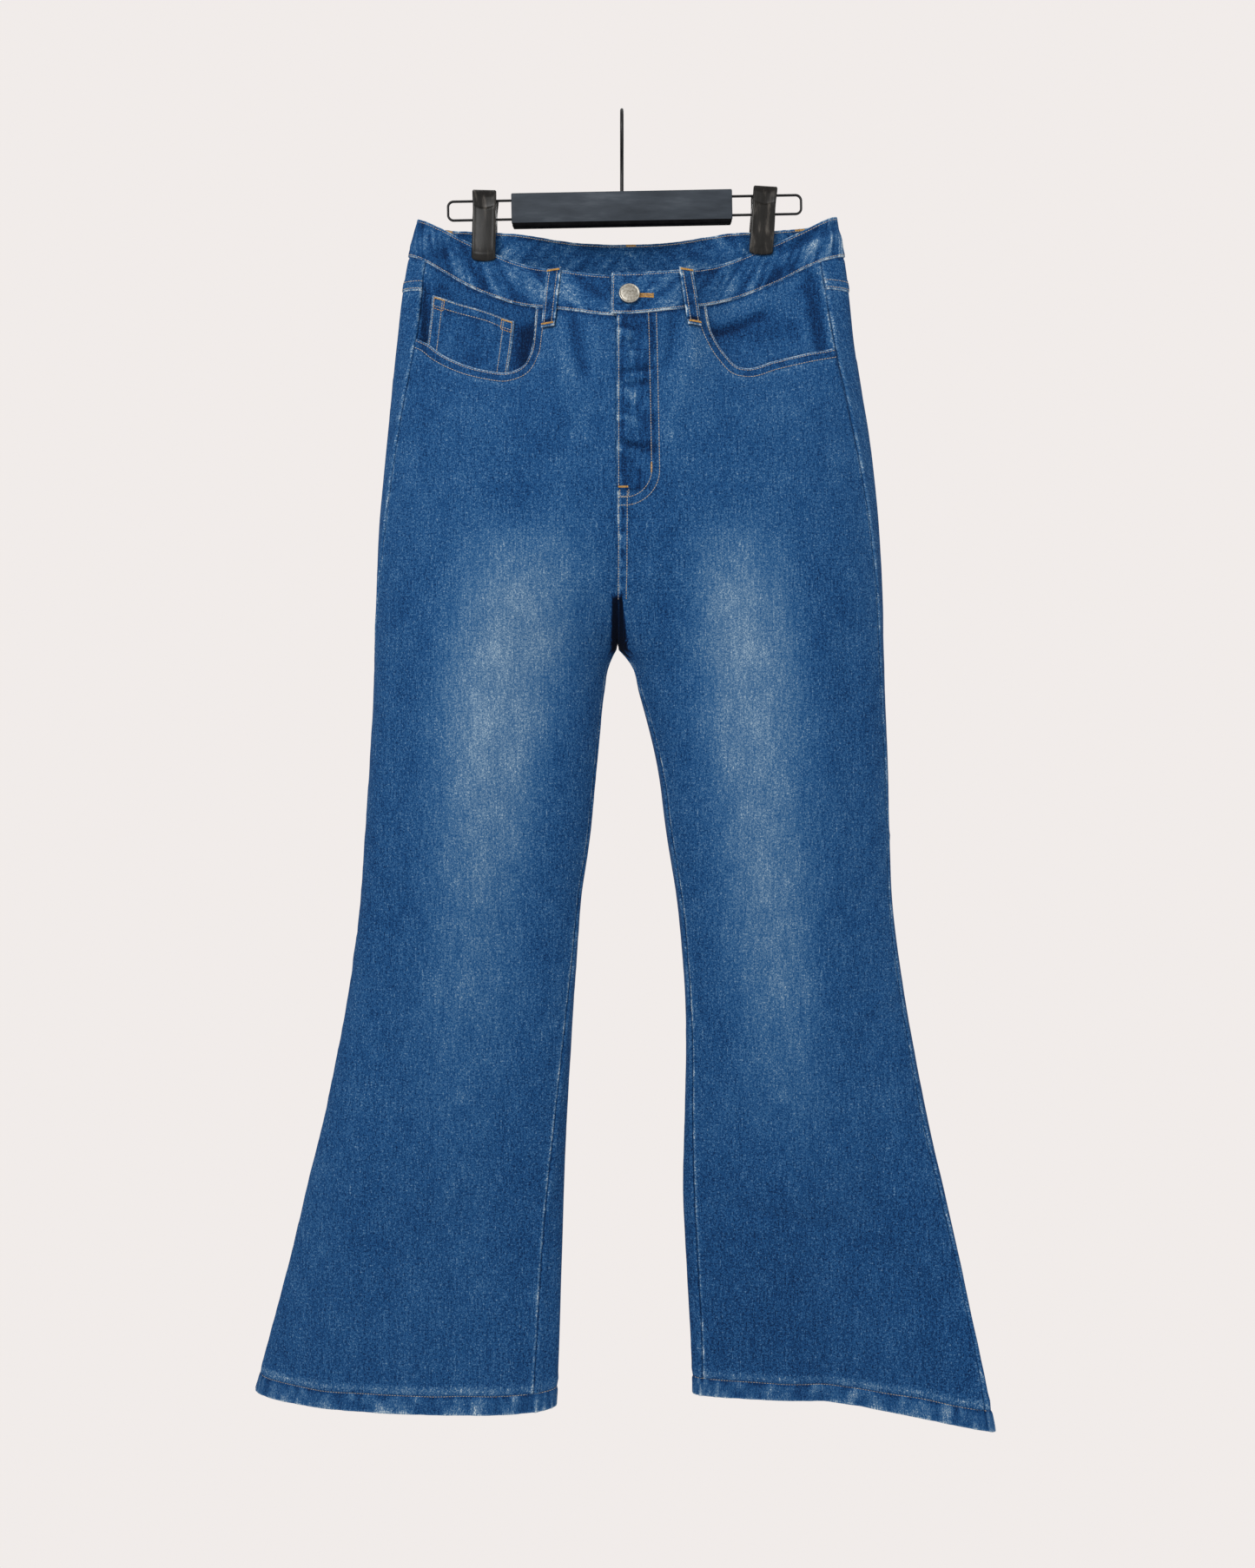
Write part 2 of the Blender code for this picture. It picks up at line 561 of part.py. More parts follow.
def make_loop(row, columns=3, rows=6):
    """Belt loop: a strip over the waistband, from its top edge to just under its seam."""
    loop = dict(zip(LOOP_COLUMNS, row))
    side = "right" if loop["top_x"] < 0.0 else "left"
    across = np.linspace(-0.5, 0.5, columns)[None, :] * LOOP_WIDTH
    down = np.linspace(0.0, 1.0, rows)[:, None]
    x = loop["top_x"] + (loop["foot_x"] - loop["top_x"]) * down + across
    z = loop["top_z"] + (loop["foot_z"] - loop["top_z"]) * down + 0.0 * across
    lift = FOLDED / 2 + SEAM * 1.5 + CLOTH / 2
    cloth_piece(loop["name"], cloth(side, theta_at(side, x, z, loop["back"]), z, lift))


def make_fly():
    """J-shaped facing behind the left front, with the closed zip behind it."""
    down = np.linspace(0.0, 1.0, 9)[:, None]
    share = np.linspace(0.0, 1.0, 5)[None, :]
    near = CENTRE_X + 4.0 * SEAM
    bottom = FLY_BOTTOM_Z + SEAM
    fall = 1.0 - (1.0 - down) ** 1.5
    top = band_edge("front_seam", near + (FLY_WIDTH - near) * share) - 2.0 * SEAM
    z = top + (bottom - top) * fall
    low = np.clip((FLY_BOTTOM_Z + FLY_ROUND - z) / FLY_ROUND, 0.0, 1.0)
    edge = FLY_WIDTH - FLY_ROUND * (1.0 - np.sqrt(1.0 - low ** 2))
    x = near + (edge - near) * share
    cloth_piece("fly_facing", cloth("left", theta_at("left", x, z), z, -LAYER))
    zip_x = np.linspace(*ZIP_EDGES_X, 3)[None, :] + 0.0 * down
    zip_z = ZIP_ENDS_Z[0] + (ZIP_ENDS_Z[1] - ZIP_ENDS_Z[0]) * down + 0.0 * zip_x
    cloth_piece("zip", cloth("left", theta_at("left", zip_x, zip_z), zip_z, -2.0 * LAYER),
                finish="zip_tape")


# Hardware

def make_button():
    """Turned cap with a rolled rim, lying on the waistband's upper end."""
    profile = ((0.0, 1.0), (0.55, 0.96), (0.82, 0.80), (0.93, 0.82), (1.0, 0.62), (1.0, 0.30),
               (0.86, 0.0), (0.0, 0.0))
    mesh = bpy.data.meshes.new("button")
    points = [(radius * BUTTON_RADIUS, 0.0, height * BUTTON_HEIGHT) for radius, height in profile]
    mesh.from_pydata(points, [(i, i + 1) for i in range(len(points) - 1)], [])
    made = add("button", mesh, "pewter")
    turned = made.modifiers.new("turned", "SCREW")
    turned.steps = turned.render_steps = 24
    turned.use_merge_vertices = True
    turned.merge_threshold = 0.00002
    theta = theta_at("left", BUTTON_X, BUTTON_Z)
    seat = Vector(cloth("left", theta, BUTTON_Z, FOLDED / 2 + SEAM))
    outward = Vector(cloth("left", theta, BUTTON_Z, FOLDED)) - seat
    made.location = seat
    made.rotation_euler = outward.to_track_quat("Z", "X").to_euler()


def wire(name, points, radius, finish):
    """A POLY curve with a round bevel and closed ends."""
    curve = bpy.data.curves.new(name, "CURVE")
    curve.dimensions = "3D"
    curve.resolution_u = 1
    curve.render_resolution_u = 0
    curve.bevel_depth = radius
    curve.bevel_resolution = 2
    curve.use_fill_caps = True
    spline = curve.splines.new("POLY")
    spline.points.add(len(points) - 1)
    for slot, point in zip(spline.points, points):
        slot.co = (*point, 1.0)
    return add(name, curve, finish)


def arc(centre, radius, start, end, steps):
    """Points of an arc in a plane, as pairs."""
    turns = np.linspace(start, end, steps)
    return [(centre[0] + radius * math.cos(t), centre[1] + radius * math.sin(t)) for t in turns]


def make_hook():
    """Round hook over the rail: its tip behind, its shank coming down in front and back to
    the middle, all in the plane x = 0."""
    radius = HOOK_INNER + HOOK_RADIUS
    crown = (0.0, -HOOK_INNER)
    join = math.pi + HOOK_SHANK_TURN
    bend = 2.0 * radius * math.cos(join), -HOOK_INNER + 2.0 * radius * math.sin(join)
    path = arc(crown, radius, math.pi / 2 - HOOK_TIP_TURN, join, 30)
    path += arc(bend, radius, HOOK_SHANK_TURN, 0.0, 9)[1:]
    shank_y = path[-1][0]
    path.append((shank_y, BAR_Z + BAR_HEIGHT / 2 - SHANK_IN_BAR))
    points = [(0.0, y - shank_y, z) for y, z in path]
    wire("hanger_hook", points, HOOK_RADIUS, "black_wire")


def bore(name, radius, start, end, parent=None):
    """Hidden cutter: a rod from start to end."""
    start, end = Vector(start), Vector(end)
    bpy.ops.mesh.primitive_cylinder_add(vertices=12, radius=radius, depth=(end - start).length)
    made = bpy.context.active_object
    made.name = name
    made.location = (start + end) / 2
    made.rotation_euler = (end - start).to_track_quat("Z", "X").to_euler()
    made.parent = parent
    made.hide_render = True
    made.display_type = "WIRE"
    for home in list(made.users_collection):
        home.objects.unlink(made)
    CUTTERS.objects.link(made)
    return made


def make_bar(tilt):
    """The hanger's bar, with bores for the hook's shank and the ends of the wire loops."""
    bpy.ops.mesh.primitive_cube_add(size=1.0)
    bar = bpy.context.active_object
    bar.name = bar.data.name = "hanger_bar"
    for corner in bar.data.vertices:
        corner.co = (corner.co.x * BAR_LENGTH, corner.co.y * BAR_DEPTH, corner.co.z * BAR_HEIGHT)
    bar.parent = tilt
    for home in list(bar.users_collection):
        home.objects.unlink(bar)
    JEANS.objects.link(bar)
    bar.data.materials.append(MATERIALS["charcoal_paint"])
    rounding = bar.modifiers.new("rounding", "BEVEL")
    rounding.width = BAR_ROUNDING
    rounding.segments = 2
    top = BAR_Z + BAR_HEIGHT / 2
    bores = [bore("shank_bore", HOOK_RADIUS + SEAM, (0.0, 0.0, top + 0.003),
                  (0.0, 0.0, top - SHANK_IN_BAR - SEAM))]
    for side in ("right", "left"):
        for wire_z in (WIRE_TOP_Z, WIRE_BOTTOM_Z):
            x = SIGN[side] * BAR_LENGTH / 2
            bores.append(bore("wire_bore", WIRE_RADIUS + SEAM, (x * 1.03, 0.0, wire_z - BAR_Z),
                              (x - SIGN[side] * (WIRE_IN_BAR + SEAM), 0.0, wire_z - BAR_Z), tilt))
    for cutter in bores:
        cut = bar.modifiers.new(cutter.name, "BOOLEAN")
        cut.object = cutter


def make_wire_loop(side, tilt):
    """U of wire lying on its side, both ends inside the bar."""
    sign = SIGN[side]
    start = BAR_LENGTH / 2 - WIRE_IN_BAR
    end = sign * WIRE_ENDS_X[side] - WIRE_CORNER
    top, low = WIRE_TOP_Z - BAR_Z, WIRE_BOTTOM_Z - BAR_Z
    path = [(start, top)]
    path += arc((end, top - WIRE_CORNER), WIRE_CORNER, math.pi / 2, 0.0, 6)
    path += arc((end, low + WIRE_CORNER), WIRE_CORNER, 0.0, -math.pi / 2, 6)
    path.append((start, low))
    made = wire("wire_loop_" + side, [(sign * x, 0.0, z) for x, z in path], WIRE_RADIUS,
                "black_wire")
    made.parent = tilt


def make_clip(row):
    """Two sprung jaws that rock on the lower wire and hold the waistband between them."""
    clip = dict(zip(CLIP_COLUMNS, row))
    pivot = clip["pivot_height"]
    near_wire = WIRE_RADIUS + SEAM
    grip = PINCH_DEPTH + FOLDED / 2 + GRIP_GAP
    profile = ((grip, 0.0), (grip, 0.0275), (near_wire, pivot - 0.0015), (near_wire, pivot + 0.0015),
               (0.0095, CLIP_HEIGHT), (0.0118, CLIP_HEIGHT), (0.0125, 0.0605), (0.0086, 0.046),
               (0.0076, 0.030), (0.0068, 0.003), (0.0058, 0.0))
    seat = bpy.data.objects.new("clip_seat_" + clip["side"], None)
    seat.location = (clip["x"], 0.0, clip["bottom_z"])
    seat.rotation_euler = (0.0, math.radians(clip["lean_degrees"]), 0.0)
    CUTTERS.objects.link(seat)
    for place, facing in (("front", -1.0), ("back", 1.0)):
        name = "clip_" + place + "_" + clip["side"]
        curve = bpy.data.curves.new(name, "CURVE")
        curve.dimensions = "2D"
        curve.fill_mode = "BOTH"
        curve.extrude = CLIP_WIDTH / 2
        curve.resolution_u = 1
        curve.render_resolution_u = 0
        spline = curve.splines.new("POLY")
        spline.points.add(len(profile) - 1)
        for slot, (out, height) in zip(spline.points, profile):
            slot.co = (facing * out, height, 0.0, 1.0)
        spline.use_cyclic_u = True
        jaw = add(name, curve, "black_plastic")
        jaw.rotation_euler = (math.pi / 2, 0.0, math.pi / 2)
        jaw.parent = seat
    bpy.ops.mesh.primitive_cylinder_add(vertices=16, radius=SPRING_RADIUS, depth=SPRING_LENGTH)
    spring = bpy.context.active_object
    spring.name = "clip_spring_" + clip["side"]
    spring.data.materials.append(MATERIALS["spring_steel"])
    spring.location = (0.0, 0.0, pivot + SPRING_ABOVE_PIVOT)
    spring.rotation_euler = (0.0, math.pi / 2, 0.0)
    spring.parent = seat
    for home in list(spring.users_collection):
        home.objects.unlink(spring)
    JEANS.objects.link(spring)


for old in list(bpy.data.objects):
    bpy.data.objects.remove(old)
JEANS = collection("flared_jeans_on_clip_hanger")
CUTTERS = collection("cutters_and_guides")
MATERIALS = {name: material(name) for name in COLOURS}

for half_name in ("right", "left"):
    make_front(half_name)
    make_back(half_name)
    make_hem(half_name)
    make_facing(half_name)
    make_back_pocket(half_name)
make_waistband()
make_coin_pocket()
make_fly()
for loop_row in LOOPS:
    make_loop(loop_row)
make_button()

hanger_tilt = bpy.data.objects.new("hanger_tilt", None)
hanger_tilt.location = (0.0, 0.0, BAR_Z)
hanger_tilt.rotation_euler = (0.0, HANGER_TILT, 0.0)
CUTTERS.objects.link(hanger_tilt)
make_hook()
make_bar(hanger_tilt)
for half_name in ("right", "left"):
    make_wire_loop(half_name, hanger_tilt)
for clip_row in CLIPS:
    make_clip(clip_row)
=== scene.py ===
import math

import bmesh
import bpy
import numpy as np
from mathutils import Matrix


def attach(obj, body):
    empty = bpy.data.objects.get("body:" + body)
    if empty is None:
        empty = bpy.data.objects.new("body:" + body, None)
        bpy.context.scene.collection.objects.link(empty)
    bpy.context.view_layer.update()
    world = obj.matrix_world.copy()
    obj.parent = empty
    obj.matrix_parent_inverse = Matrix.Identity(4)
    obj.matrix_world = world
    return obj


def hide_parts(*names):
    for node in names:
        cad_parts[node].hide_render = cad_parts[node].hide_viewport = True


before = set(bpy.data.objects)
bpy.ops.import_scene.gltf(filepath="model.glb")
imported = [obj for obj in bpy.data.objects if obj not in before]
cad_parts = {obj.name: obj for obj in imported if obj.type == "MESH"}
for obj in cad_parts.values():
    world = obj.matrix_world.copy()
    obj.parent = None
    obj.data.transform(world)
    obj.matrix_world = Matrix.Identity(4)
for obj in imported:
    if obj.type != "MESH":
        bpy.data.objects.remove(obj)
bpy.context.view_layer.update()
print("frame loaded:", len(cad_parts), "solids")

fullTurn = 2 * math.pi
tiny = 1e-5
sideSign = {"right": -1.0, "left": 1.0}
otherSide = {"right": "left", "left": "right"}

# One layer of denim, the gap at a seam, and the step from one layer to the next, which is larger
# where both layers bend with the clips' pinch. Last, the least and the most share of its rectangle for a
# cut's area.
denimCut = {"layer": 0.0011, "seam": 0.0003, "step": 0.0021, "pinchedStep": 0.0025,
            "leastArea": 0.301, "mostArea": 0.999}

# Heights and centre seams of the body
body = {
    "forkZ": -0.3, "panelMidZ": -0.42, "crotchZ": -0.48, "lowerLegZ": -0.8,
    "hemTopZ": -1.1385, "hemZ": -1.155,
    "centreX": -0.0045, "centreBackTopX": 0.008, "crotchGap": 0.001, "crotchBack": 0.01,
    "rightHemLean": -0.006, "rightHemTurn": 0.011, "leftHemSwing": -0.052, "leftHemFlatten": 0.5,
    "yokeSideZ": -0.161, "yokeCentreZ": -0.214,
}


# A table's columns by name, from rows in millimetres
def columns(names, rows):
    return dict(zip(names.split(), np.array(rows).T / 1000))


# A row for each level: the edges' distance from x = 0, the depth of front and back, and how far
# the side seam and the inseam lie inside the edges
levels = columns("z outer_right outer_left inner_right inner_left front back "
                 "side_right side_left inseam_right inseam_left", sorted((
    (-90, 182, 192.5, 5.5, -3.5, 26, 26, 17, 22.8, 0, 0),
    (-130, 192, 200, 5.5, -3.5, 28, 27, 17, 22.9, 0, 0),
    (-209, 203, 209.5, 5.5, -3.5, 42, 41, 19, 20.5, 0, 0),
    (-289, 211, 222.5, 5.5, -3.5, 48, 57, 12.8, 17.2, 0, 0),
    (-367, 218, 230.8, 5.5, -3.5, 48, 60, 8.7, 11.8, 0, 0),
    (-446, 221, 235, 5.5, -3.5, 47, 58, 3, 7.9, 0, 0),
    (-480, 222, 235.5, 5.5, -3.5, 46, 55, 0.4, 7.2, 0, 0),
    (-493, 222.5, 236, 11.5, 7.5, 45.5, 54.5, 0, 7, 0.5, 1),
    (-524, 223.5, 237, 17.2, 16.8, 44.5, 52, 0, 6.6, 1, 2.5),
    (-587, 226.5, 239.5, 23.2, 32.5, 42.5, 47, 0, 5.3, 1.7, 3.8),
    (-650, 230.5, 241.5, 29, 41, 39, 42, 0, 4.4, 2.2, 3.9),
    (-713, 235, 244, 38, 51, 35, 37, 0, 5, 2.6, 3.9),
    (-775, 243, 251.5, 42.4, 56.5, 32, 34, 0, 5.5, 4, 3.9),
    (-838, 254, 261.5, 46.2, 58.8, 31, 33, 0, 5.8, 6.9, 4.8),
    (-901, 266.8, 273, 49.8, 57.5, 30, 32, 0, 6.2, 9.9, 6.2),
    (-964, 282.5, 285.5, 52.5, 55.8, 28, 30, 0, 5, 13.8, 9),
    (-1036, 300, 299, 54.5, 59, 26, 28, 0, 3.1, 17.5, 9.4),
    (-1089, 314, 308.5, 55.7, 62, 25, 26, 0, 3.1, 19, 9.4),
    (-1155, 332, 319, 58.5, 65.5, 24, 25, 0, 5.3, 20, 7.5),
)))

# The waistband's edges from the right corner to the left one
band = columns("x front_top front_seam back_top back_seam", (
    (-200, -90, -127, -90, -127), (-183, -95.5, -132.5, -95.5, -131.5),
    (-160, -105.8, -144.5, -102.5, -137.5), (-136, -117, -157.5, -105, -140.5),
    (-110, -128.5, -168.5, -106, -142), (-65, -146, -183.5, -106.5, -143.2),
    (-30, -153, -190.5, -106.7, -143.6), (0, -154.5, -193.2, -106.7, -143.7),
    (30, -152.5, -190.5, -106.6, -143.6), (68, -145.2, -181.2, -106.3, -143.2),
    (110, -128.7, -165.5, -105.5, -142), (138, -117, -153.7, -104, -140.3),
    (166, -105, -140.5, -100.5, -136.5), (193, -93, -131.5, -93, -131), (206, -89, -128, -89, -128),
))

# Clips and the pinch that they press into the cloth
clips = (
    {"side": "right", "x": -0.1245, "bottomZ": -0.132, "lean": 1.4, "pivot": 0.037, "below": 0.002},
    {"side": "left", "x": 0.125, "bottomZ": -0.1285, "lean": 3.5, "pivot": 0.0385, "below": 0.0},
)
pinch = {"depth": 0.002, "flat": 0.0145, "spread": 0.034, "fullZ": -0.135, "endZ": -0.3}

# Waistband: its mean radius, ends that lap at the front, and its stitch rows from either edge
waist = {"half": 0.00135, "columns": 460, "middleZ": -0.13, "radius": 0.2, "upperEndX": -0.008,
         "underEndX": 0.025, "dipX": -0.06, "sink": 0.0033, "height": 0.036,
         "topRow": 0.0026, "lowRow": 0.0017}


# Arrays one after another
def joined(*parts, axis=0):
    return np.concatenate(parts, axis)


# Cubic curve through a table's points with central slopes, level past its ends
def smoothCurve(knots, values, at):
    slopes = np.gradient(values, knots)
    at = np.clip(at, knots[0], knots[-1])
    i = np.clip(np.searchsorted(knots, at) - 1, 0, len(knots) - 2)
    step = knots[i + 1] - knots[i]
    t = (at - knots[i]) / step
    rise = values[i + 1] - values[i]
    start, end = slopes[i] * step, slopes[i + 1] * step
    return values[i] + t * (start + t * (3 * rise - 2 * start - end + t * (start + end - 2 * rise)))


# A level's value at any height
def levelAt(name, z):
    return smoothCurve(levels["z"], levels[name], z)


# Height of an edge of the waistband at x
def bandEdge(name, x):
    return smoothCurve(band["x"], band[name], x)


# 3t^2 - 2t^3 between 0 and 1
def softStep(t):
    t = np.clip(t, 0, 1)
    return t * t * (3 - 2 * t)


# exp(-(d / width)^2)
def bell(d, width):
    return np.exp(-(d / width) ** 2)


# The part of a value that is above 0
def over(value):
    return np.maximum(value, 0)


# Middle and half width of one half's ring; above the fork both halves share one oval
def ovalAt(side, z):
    outer = levelAt("outer_" + side, z)
    inner = levelAt("inner_" + side, z)
    share = np.clip((z - body["crotchZ"]) / (body["forkZ"] - body["crotchZ"]), 0, 1) ** 1.2
    inner = inner - (levelAt("outer_" + otherSide[side], z) + inner) * share
    return (outer + inner) / 2, (outer - inner) / 2


# How flat the clips press the cloth, 0 to 1
def pinchAt(x, z):
    flat = np.zeros_like(x)
    for clip in clips:
        away = over(np.abs(x - clip["x"]) - pinch["flat"])
        flat = np.maximum(flat, np.exp(-0.5 * (away / pinch["spread"]) ** 2))
    return flat * (1 - softStep((pinch["fullZ"] - z) / (pinch["fullZ"] - pinch["endZ"])))


# Middle surface of the cloth: x = +-(middle - half cos a), y = centre -+ depth |sin a|.
# The angle is 0 at the ring's inner edge and pi at its outer edge, over the front first.
def ringPoint(side, theta, z):
    theta, z = np.broadcast_arrays(np.asarray(theta, float), np.asarray(z, float))
    middle, half = ovalAt(side, z)
    across = -np.cos(theta)
    x = sideSign[side] * (middle + half * across)
    turn = np.clip((body["lowerLegZ"] - z) / (body["lowerLegZ"] - body["hemZ"]), 0, 1) ** 1.5
    centre = body["crotchBack"] * bell(z - body["crotchZ"], 0.12) * ((1 - across) / 2) ** 2
    if side == "right":
        centre = centre + turn * (body["rightHemLean"] + body["rightHemTurn"] * across)
        flatten = 1
    else:
        centre = centre + turn * body["leftHemSwing"] * np.clip((across + 0.1) / 1.1, 0, 1) ** 1.3
        flatten = 1 - body["leftHemFlatten"] * turn
    wave = np.sin(theta)
    depth = np.where(wave > 0, levelAt("front", z), levelAt("back", z)) * np.abs(wave) * flatten
    depth = depth - over(depth - pinch["depth"]) * pinchAt(x, z)
    return np.stack((x, centre - np.sign(wave) * depth, z), axis=-1)


# The ring's run between two close angles
def ringStep(side, theta, z):
    return ringPoint(side, theta + tiny, z) - ringPoint(side, theta - tiny, z)


# Outward direction: cross product of the ring's two slopes
def ringNormal(side, theta, z):
    along = ringPoint(side, theta, z + tiny) - ringPoint(side, theta, z - tiny)
    return unit(np.cross(ringStep(side, theta, z), along) * sideSign[side])


# v / |v|
def unit(v):
    return v / np.linalg.norm(v, axis=-1, keepdims=True)


# The ring's point moved out along its outward direction
def clothPoint(side, theta, z, out=0.0):
    return ringPoint(side, theta, z) + ringNormal(side, theta, z) * np.asarray(out)[..., None]


# The angle whose x this is: cos a = (middle - sign x) / half, counted back from 2 pi at the back
def thetaAt(side, x, z, back=False):
    middle, half = ovalAt(side, z)
    theta = np.arccos(np.clip((middle - sideSign[side] * x) / half, -1, 1))
    return fullTurn - theta if back else theta


# Metres round the ring for each radian
def arcSpeed(side, theta, z):
    return np.linalg.norm(ringStep(side, theta, z), axis=-1) / (2 * tiny)


# Angle at which a seam lies its own distance inside the ring's edge
def insetAngle(seam, side, z):
    return np.arccos(np.clip(1 - levelAt(seam + "_" + side, z) / ovalAt(side, z)[1], -1, 1))


# Angle of the centre seam above the crotch and of the inseam below it. Both halves stay apart where
# the ring turns under, and at the back the centre seam drifts over towards the waist.
def innerTheta(side, z, back=False):
    z = np.asarray(z, float)
    middle, half = ovalAt(side, z)
    facing = np.clip(middle / half, 0, 0.9999)
    steep = levelAt("back" if back else "front", z) / half * facing / np.sqrt(1 - facing ** 2)
    near = denimCut["seam"] * 0.6
    apart = near + (body["crotchGap"] - near) * steep / np.sqrt(1 + steep ** 2)
    drift = back * softStep((z - body["panelMidZ"]) / (body["yokeSideZ"] - body["panelMidZ"]))
    centreX = body["centreX"] + (body["centreBackTopX"] - body["centreX"]) * drift
    centre = thetaAt(side, centreX + sideSign[side] * apart, z)
    inseam = insetAngle("inseam", side, z)
    gap = denimCut["seam"] / 2 / arcSpeed(side, inseam, z)
    below = z < body["crotchZ"]
    if back:
        return fullTurn + np.where(below, inseam - gap, -centre)
    return np.where(below, inseam + gap, centre)


# Angle of the side seam, half a gap short of it on the front and past it on the back
def sideTheta(side, z, back=False):
    z = np.asarray(z, float)
    seam = math.pi - insetAngle("side", side, z)
    gap = denimCut["seam"] / 2 / arcSpeed(side, seam, z)
    return seam + gap if back else seam - gap


# Angle a share of the way from the inner seam to the side seam
def betweenSeams(side, share, z, back):
    inner = innerTheta(side, z, back)
    return inner + (sideTheta(side, z, back) - inner) * share


# Height of the yoke's seam: level round the side, falling to the centre back
def yokeSeam(side, theta, z):
    middle, half = ovalAt(side, z)
    reach = (middle - half * np.cos(theta)) / (middle + half)
    reach = np.where(theta < math.pi, 1, reach)
    return body["yokeCentreZ"] + (body["yokeSideZ"] - body["yokeCentreZ"]) * np.clip(reach, 0, 1)


# Fractions from 0 to 1, drawn towards both ends
def spread(count, ends):
    t = np.linspace(0, 1, count)
    return ends * (1 - np.cos(math.pi * t)) / 2 + (1 - ends) * t


# Shortest distance from points to a line of straight stretches
def lineDistance(x, z, line):
    line = np.asarray(line)
    point = np.stack((x, z), axis=-1)[..., None, :]
    start, run = line[:-1], np.diff(line, axis=0)
    share = np.clip(((point - start) * run).sum(-1) / (run ** 2).sum(-1), 0, 1)
    return np.linalg.norm(point - start - share[..., None] * run, axis=-1).min(-1)


# Running length along a line of points
def runLength(points):
    return np.append(0, np.cumsum(np.linalg.norm(np.diff(points, axis=0), axis=1)))


# A line's points, or values that go with them, at running lengths
def alongLine(values, length, at):
    return np.stack([np.interp(at, length, column) for column in values.T], -1)


# Smooth cloudy noise from -1 to 1: random heights on a lattice, joined by soft steps
def cloud(u, v, seed):
    size = 64
    lattice = np.random.RandomState(seed).uniform(-1, 1, (size, size))
    i, j = np.floor(u).astype(int), np.floor(v).astype(int)
    s, t = softStep(u - i), softStep(v - j)
    i, j, right, above = i % size, j % size, (i + 1) % size, (j + 1) % size
    near = lattice[i, j] * (1 - s) + lattice[right, j] * s
    far = lattice[i, above] * (1 - s) + lattice[right, above] * s
    return near * (1 - t) + far * t


# Main creases on the front and back: two ends as x, z, then width and height, which is below 0 for
# a trough. Millimetres.
frontCreases = (
    # waistband and pockets
    (146, -122, 196, -101, 6, -1.7), (140, -133, 190, -114, 6, 1.2), (170, -150, 178, -212, 7, -3.4),
    (186, -150, 187, -210, 6, 0.8), (86, -201, 126, -183, 5.5, -3.4), (95, -190, 135, -172, 6, 1.2),
    (-178, -160, -177, -206, 6, -2.6), (-90, -198, -88, -228, 6, -2.4), (-150, -108, -187, -122, 7, 1),
    (-96, -142, -112, -166, 5.5, 0.9), (146, -124, 190, -104, 3, -1.2),
    (-110, -146, -100, -122, 3, -0.9), (-120, -142, -112, -118, 3, 0.9),
    (-128, -138, -122, -112, 3, -0.9), (-158, -128, -148, -102, 3.5, -1),
    (-168, -122, -160, -98, 3.5, 0.9), (104, -144, 94, -120, 3, -0.9), (114, -140, 106, -116, 3, 0.9),
    (86, -150, 78, -128, 3, -0.7), (136, -132, 130, -110, 3, 0.8),
    # fly
    (-1, -206, 12, -208.5, 2.2, -1.8), (-2, -220, 10, -218.5, 2.2, -1.8), (-1, -247, 24, -242, 2.6, -2),
    (0, -258.5, 24, -254, 2.6, -2.2), (-1, -308, 20, -312.5, 2.8, -2.8), (0, -303, 14, -305.5, 2.6, 1),
    (9.5, -262, 10.5, -300, 2, 1), (18, -222, 18.5, -240, 2, 0.8), (9.5, -222, 10, -240, 2, 0.8),
    (2.5, -262, 3, -300, 2.8, 0.9), (2.5, -224, 3, -241, 3, 0.9), (3, -212, 6, -215, 3, 0.9),
    # hips
    (-43, -196, -33, -245, 5.2, -1.7), (-53, -200, -47, -245, 5.5, 1), (-24, -205, -18, -250, 5, 0.8),
    (-84, -196, -76, -222, 5, -1.4), (46, -196, 40, -238, 5.5, -1.2), (60, -200, 62, -240, 5, 0.9),
    (-60, -215, -30, -300, 11, 1.1), (62, -215, 40, -300, 11, 1), (-12, -440, -75, -400, 7, 0.8),
    (6, -432, 72, -386, 7, 0.8), (-10, -400, -85, -356, 8, 0.7), (10, -396, 90, -350, 8, 0.7),
    # legs
    (-118, -440, -150, -960, 30, 2.6), (-190, -500, -214, -1000, 20, -1.8),
    (128, -430, 158, -960, 28, 2.6), (198, -480, 232, -980, 20, -2), (-215, -930, -262, -1130, 22, 2.8),
    (-140, -980, -138, -1140, 22, -1.8), (222, -960, 262, -1130, 20, -3),
    (140, -950, 150, -1130, 24, 2.4), (204, -1001, 283, -1063, 18, -3), (94, -979, 185, -994, 7, -1.2),
    (190, -930, 262, -985, 12, 1.2),
    # knees
    (236, -720, 205, -735, 6, 0.9), (240, -790, 200, -812, 7, 0.9), (250, -850, 215, -862, 6, 0.8),
    (-235, -760, -195, -778, 7, 0.8), (-240, -830, -205, -842, 6, -0.8), (-75, -770, -110, -782, 6, 0.7),
)
backCreases = (
    (-150, -424, -45, -452, 9, 1.3), (150, -420, 50, -450, 9, 1.3), (-165, -452, -60, -482, 8, -1.1),
    (165, -450, 60, -480, 8, -1.1), (-20, -410, -90, -394, 8, 1), (22, -405, 95, -390, 8, 1),
    (-200, -726, -95, -742, 7.5, -1.2), (-190, -765, -90, -775, 8, 1), (205, -722, 100, -740, 7.5, -1.2),
    (200, -768, 95, -776, 8, 1), (-120, -480, -155, -980, 30, 2.6), (125, -480, 160, -980, 30, 2.6),
    (-200, -560, -225, -1000, 20, -1.8), (200, -560, 235, -1000, 20, -1.8),
    (-210, -950, -262, -1130, 22, 2.6), (215, -950, 258, -1130, 22, 2.4),
    (-120, -1000, -120, -1135, 20, -1.6), (120, -1000, 125, -1135, 20, -1.6),
    (-105, -150, -90, -205, 8, 1), (108, -150, 95, -205, 8, 1),
)


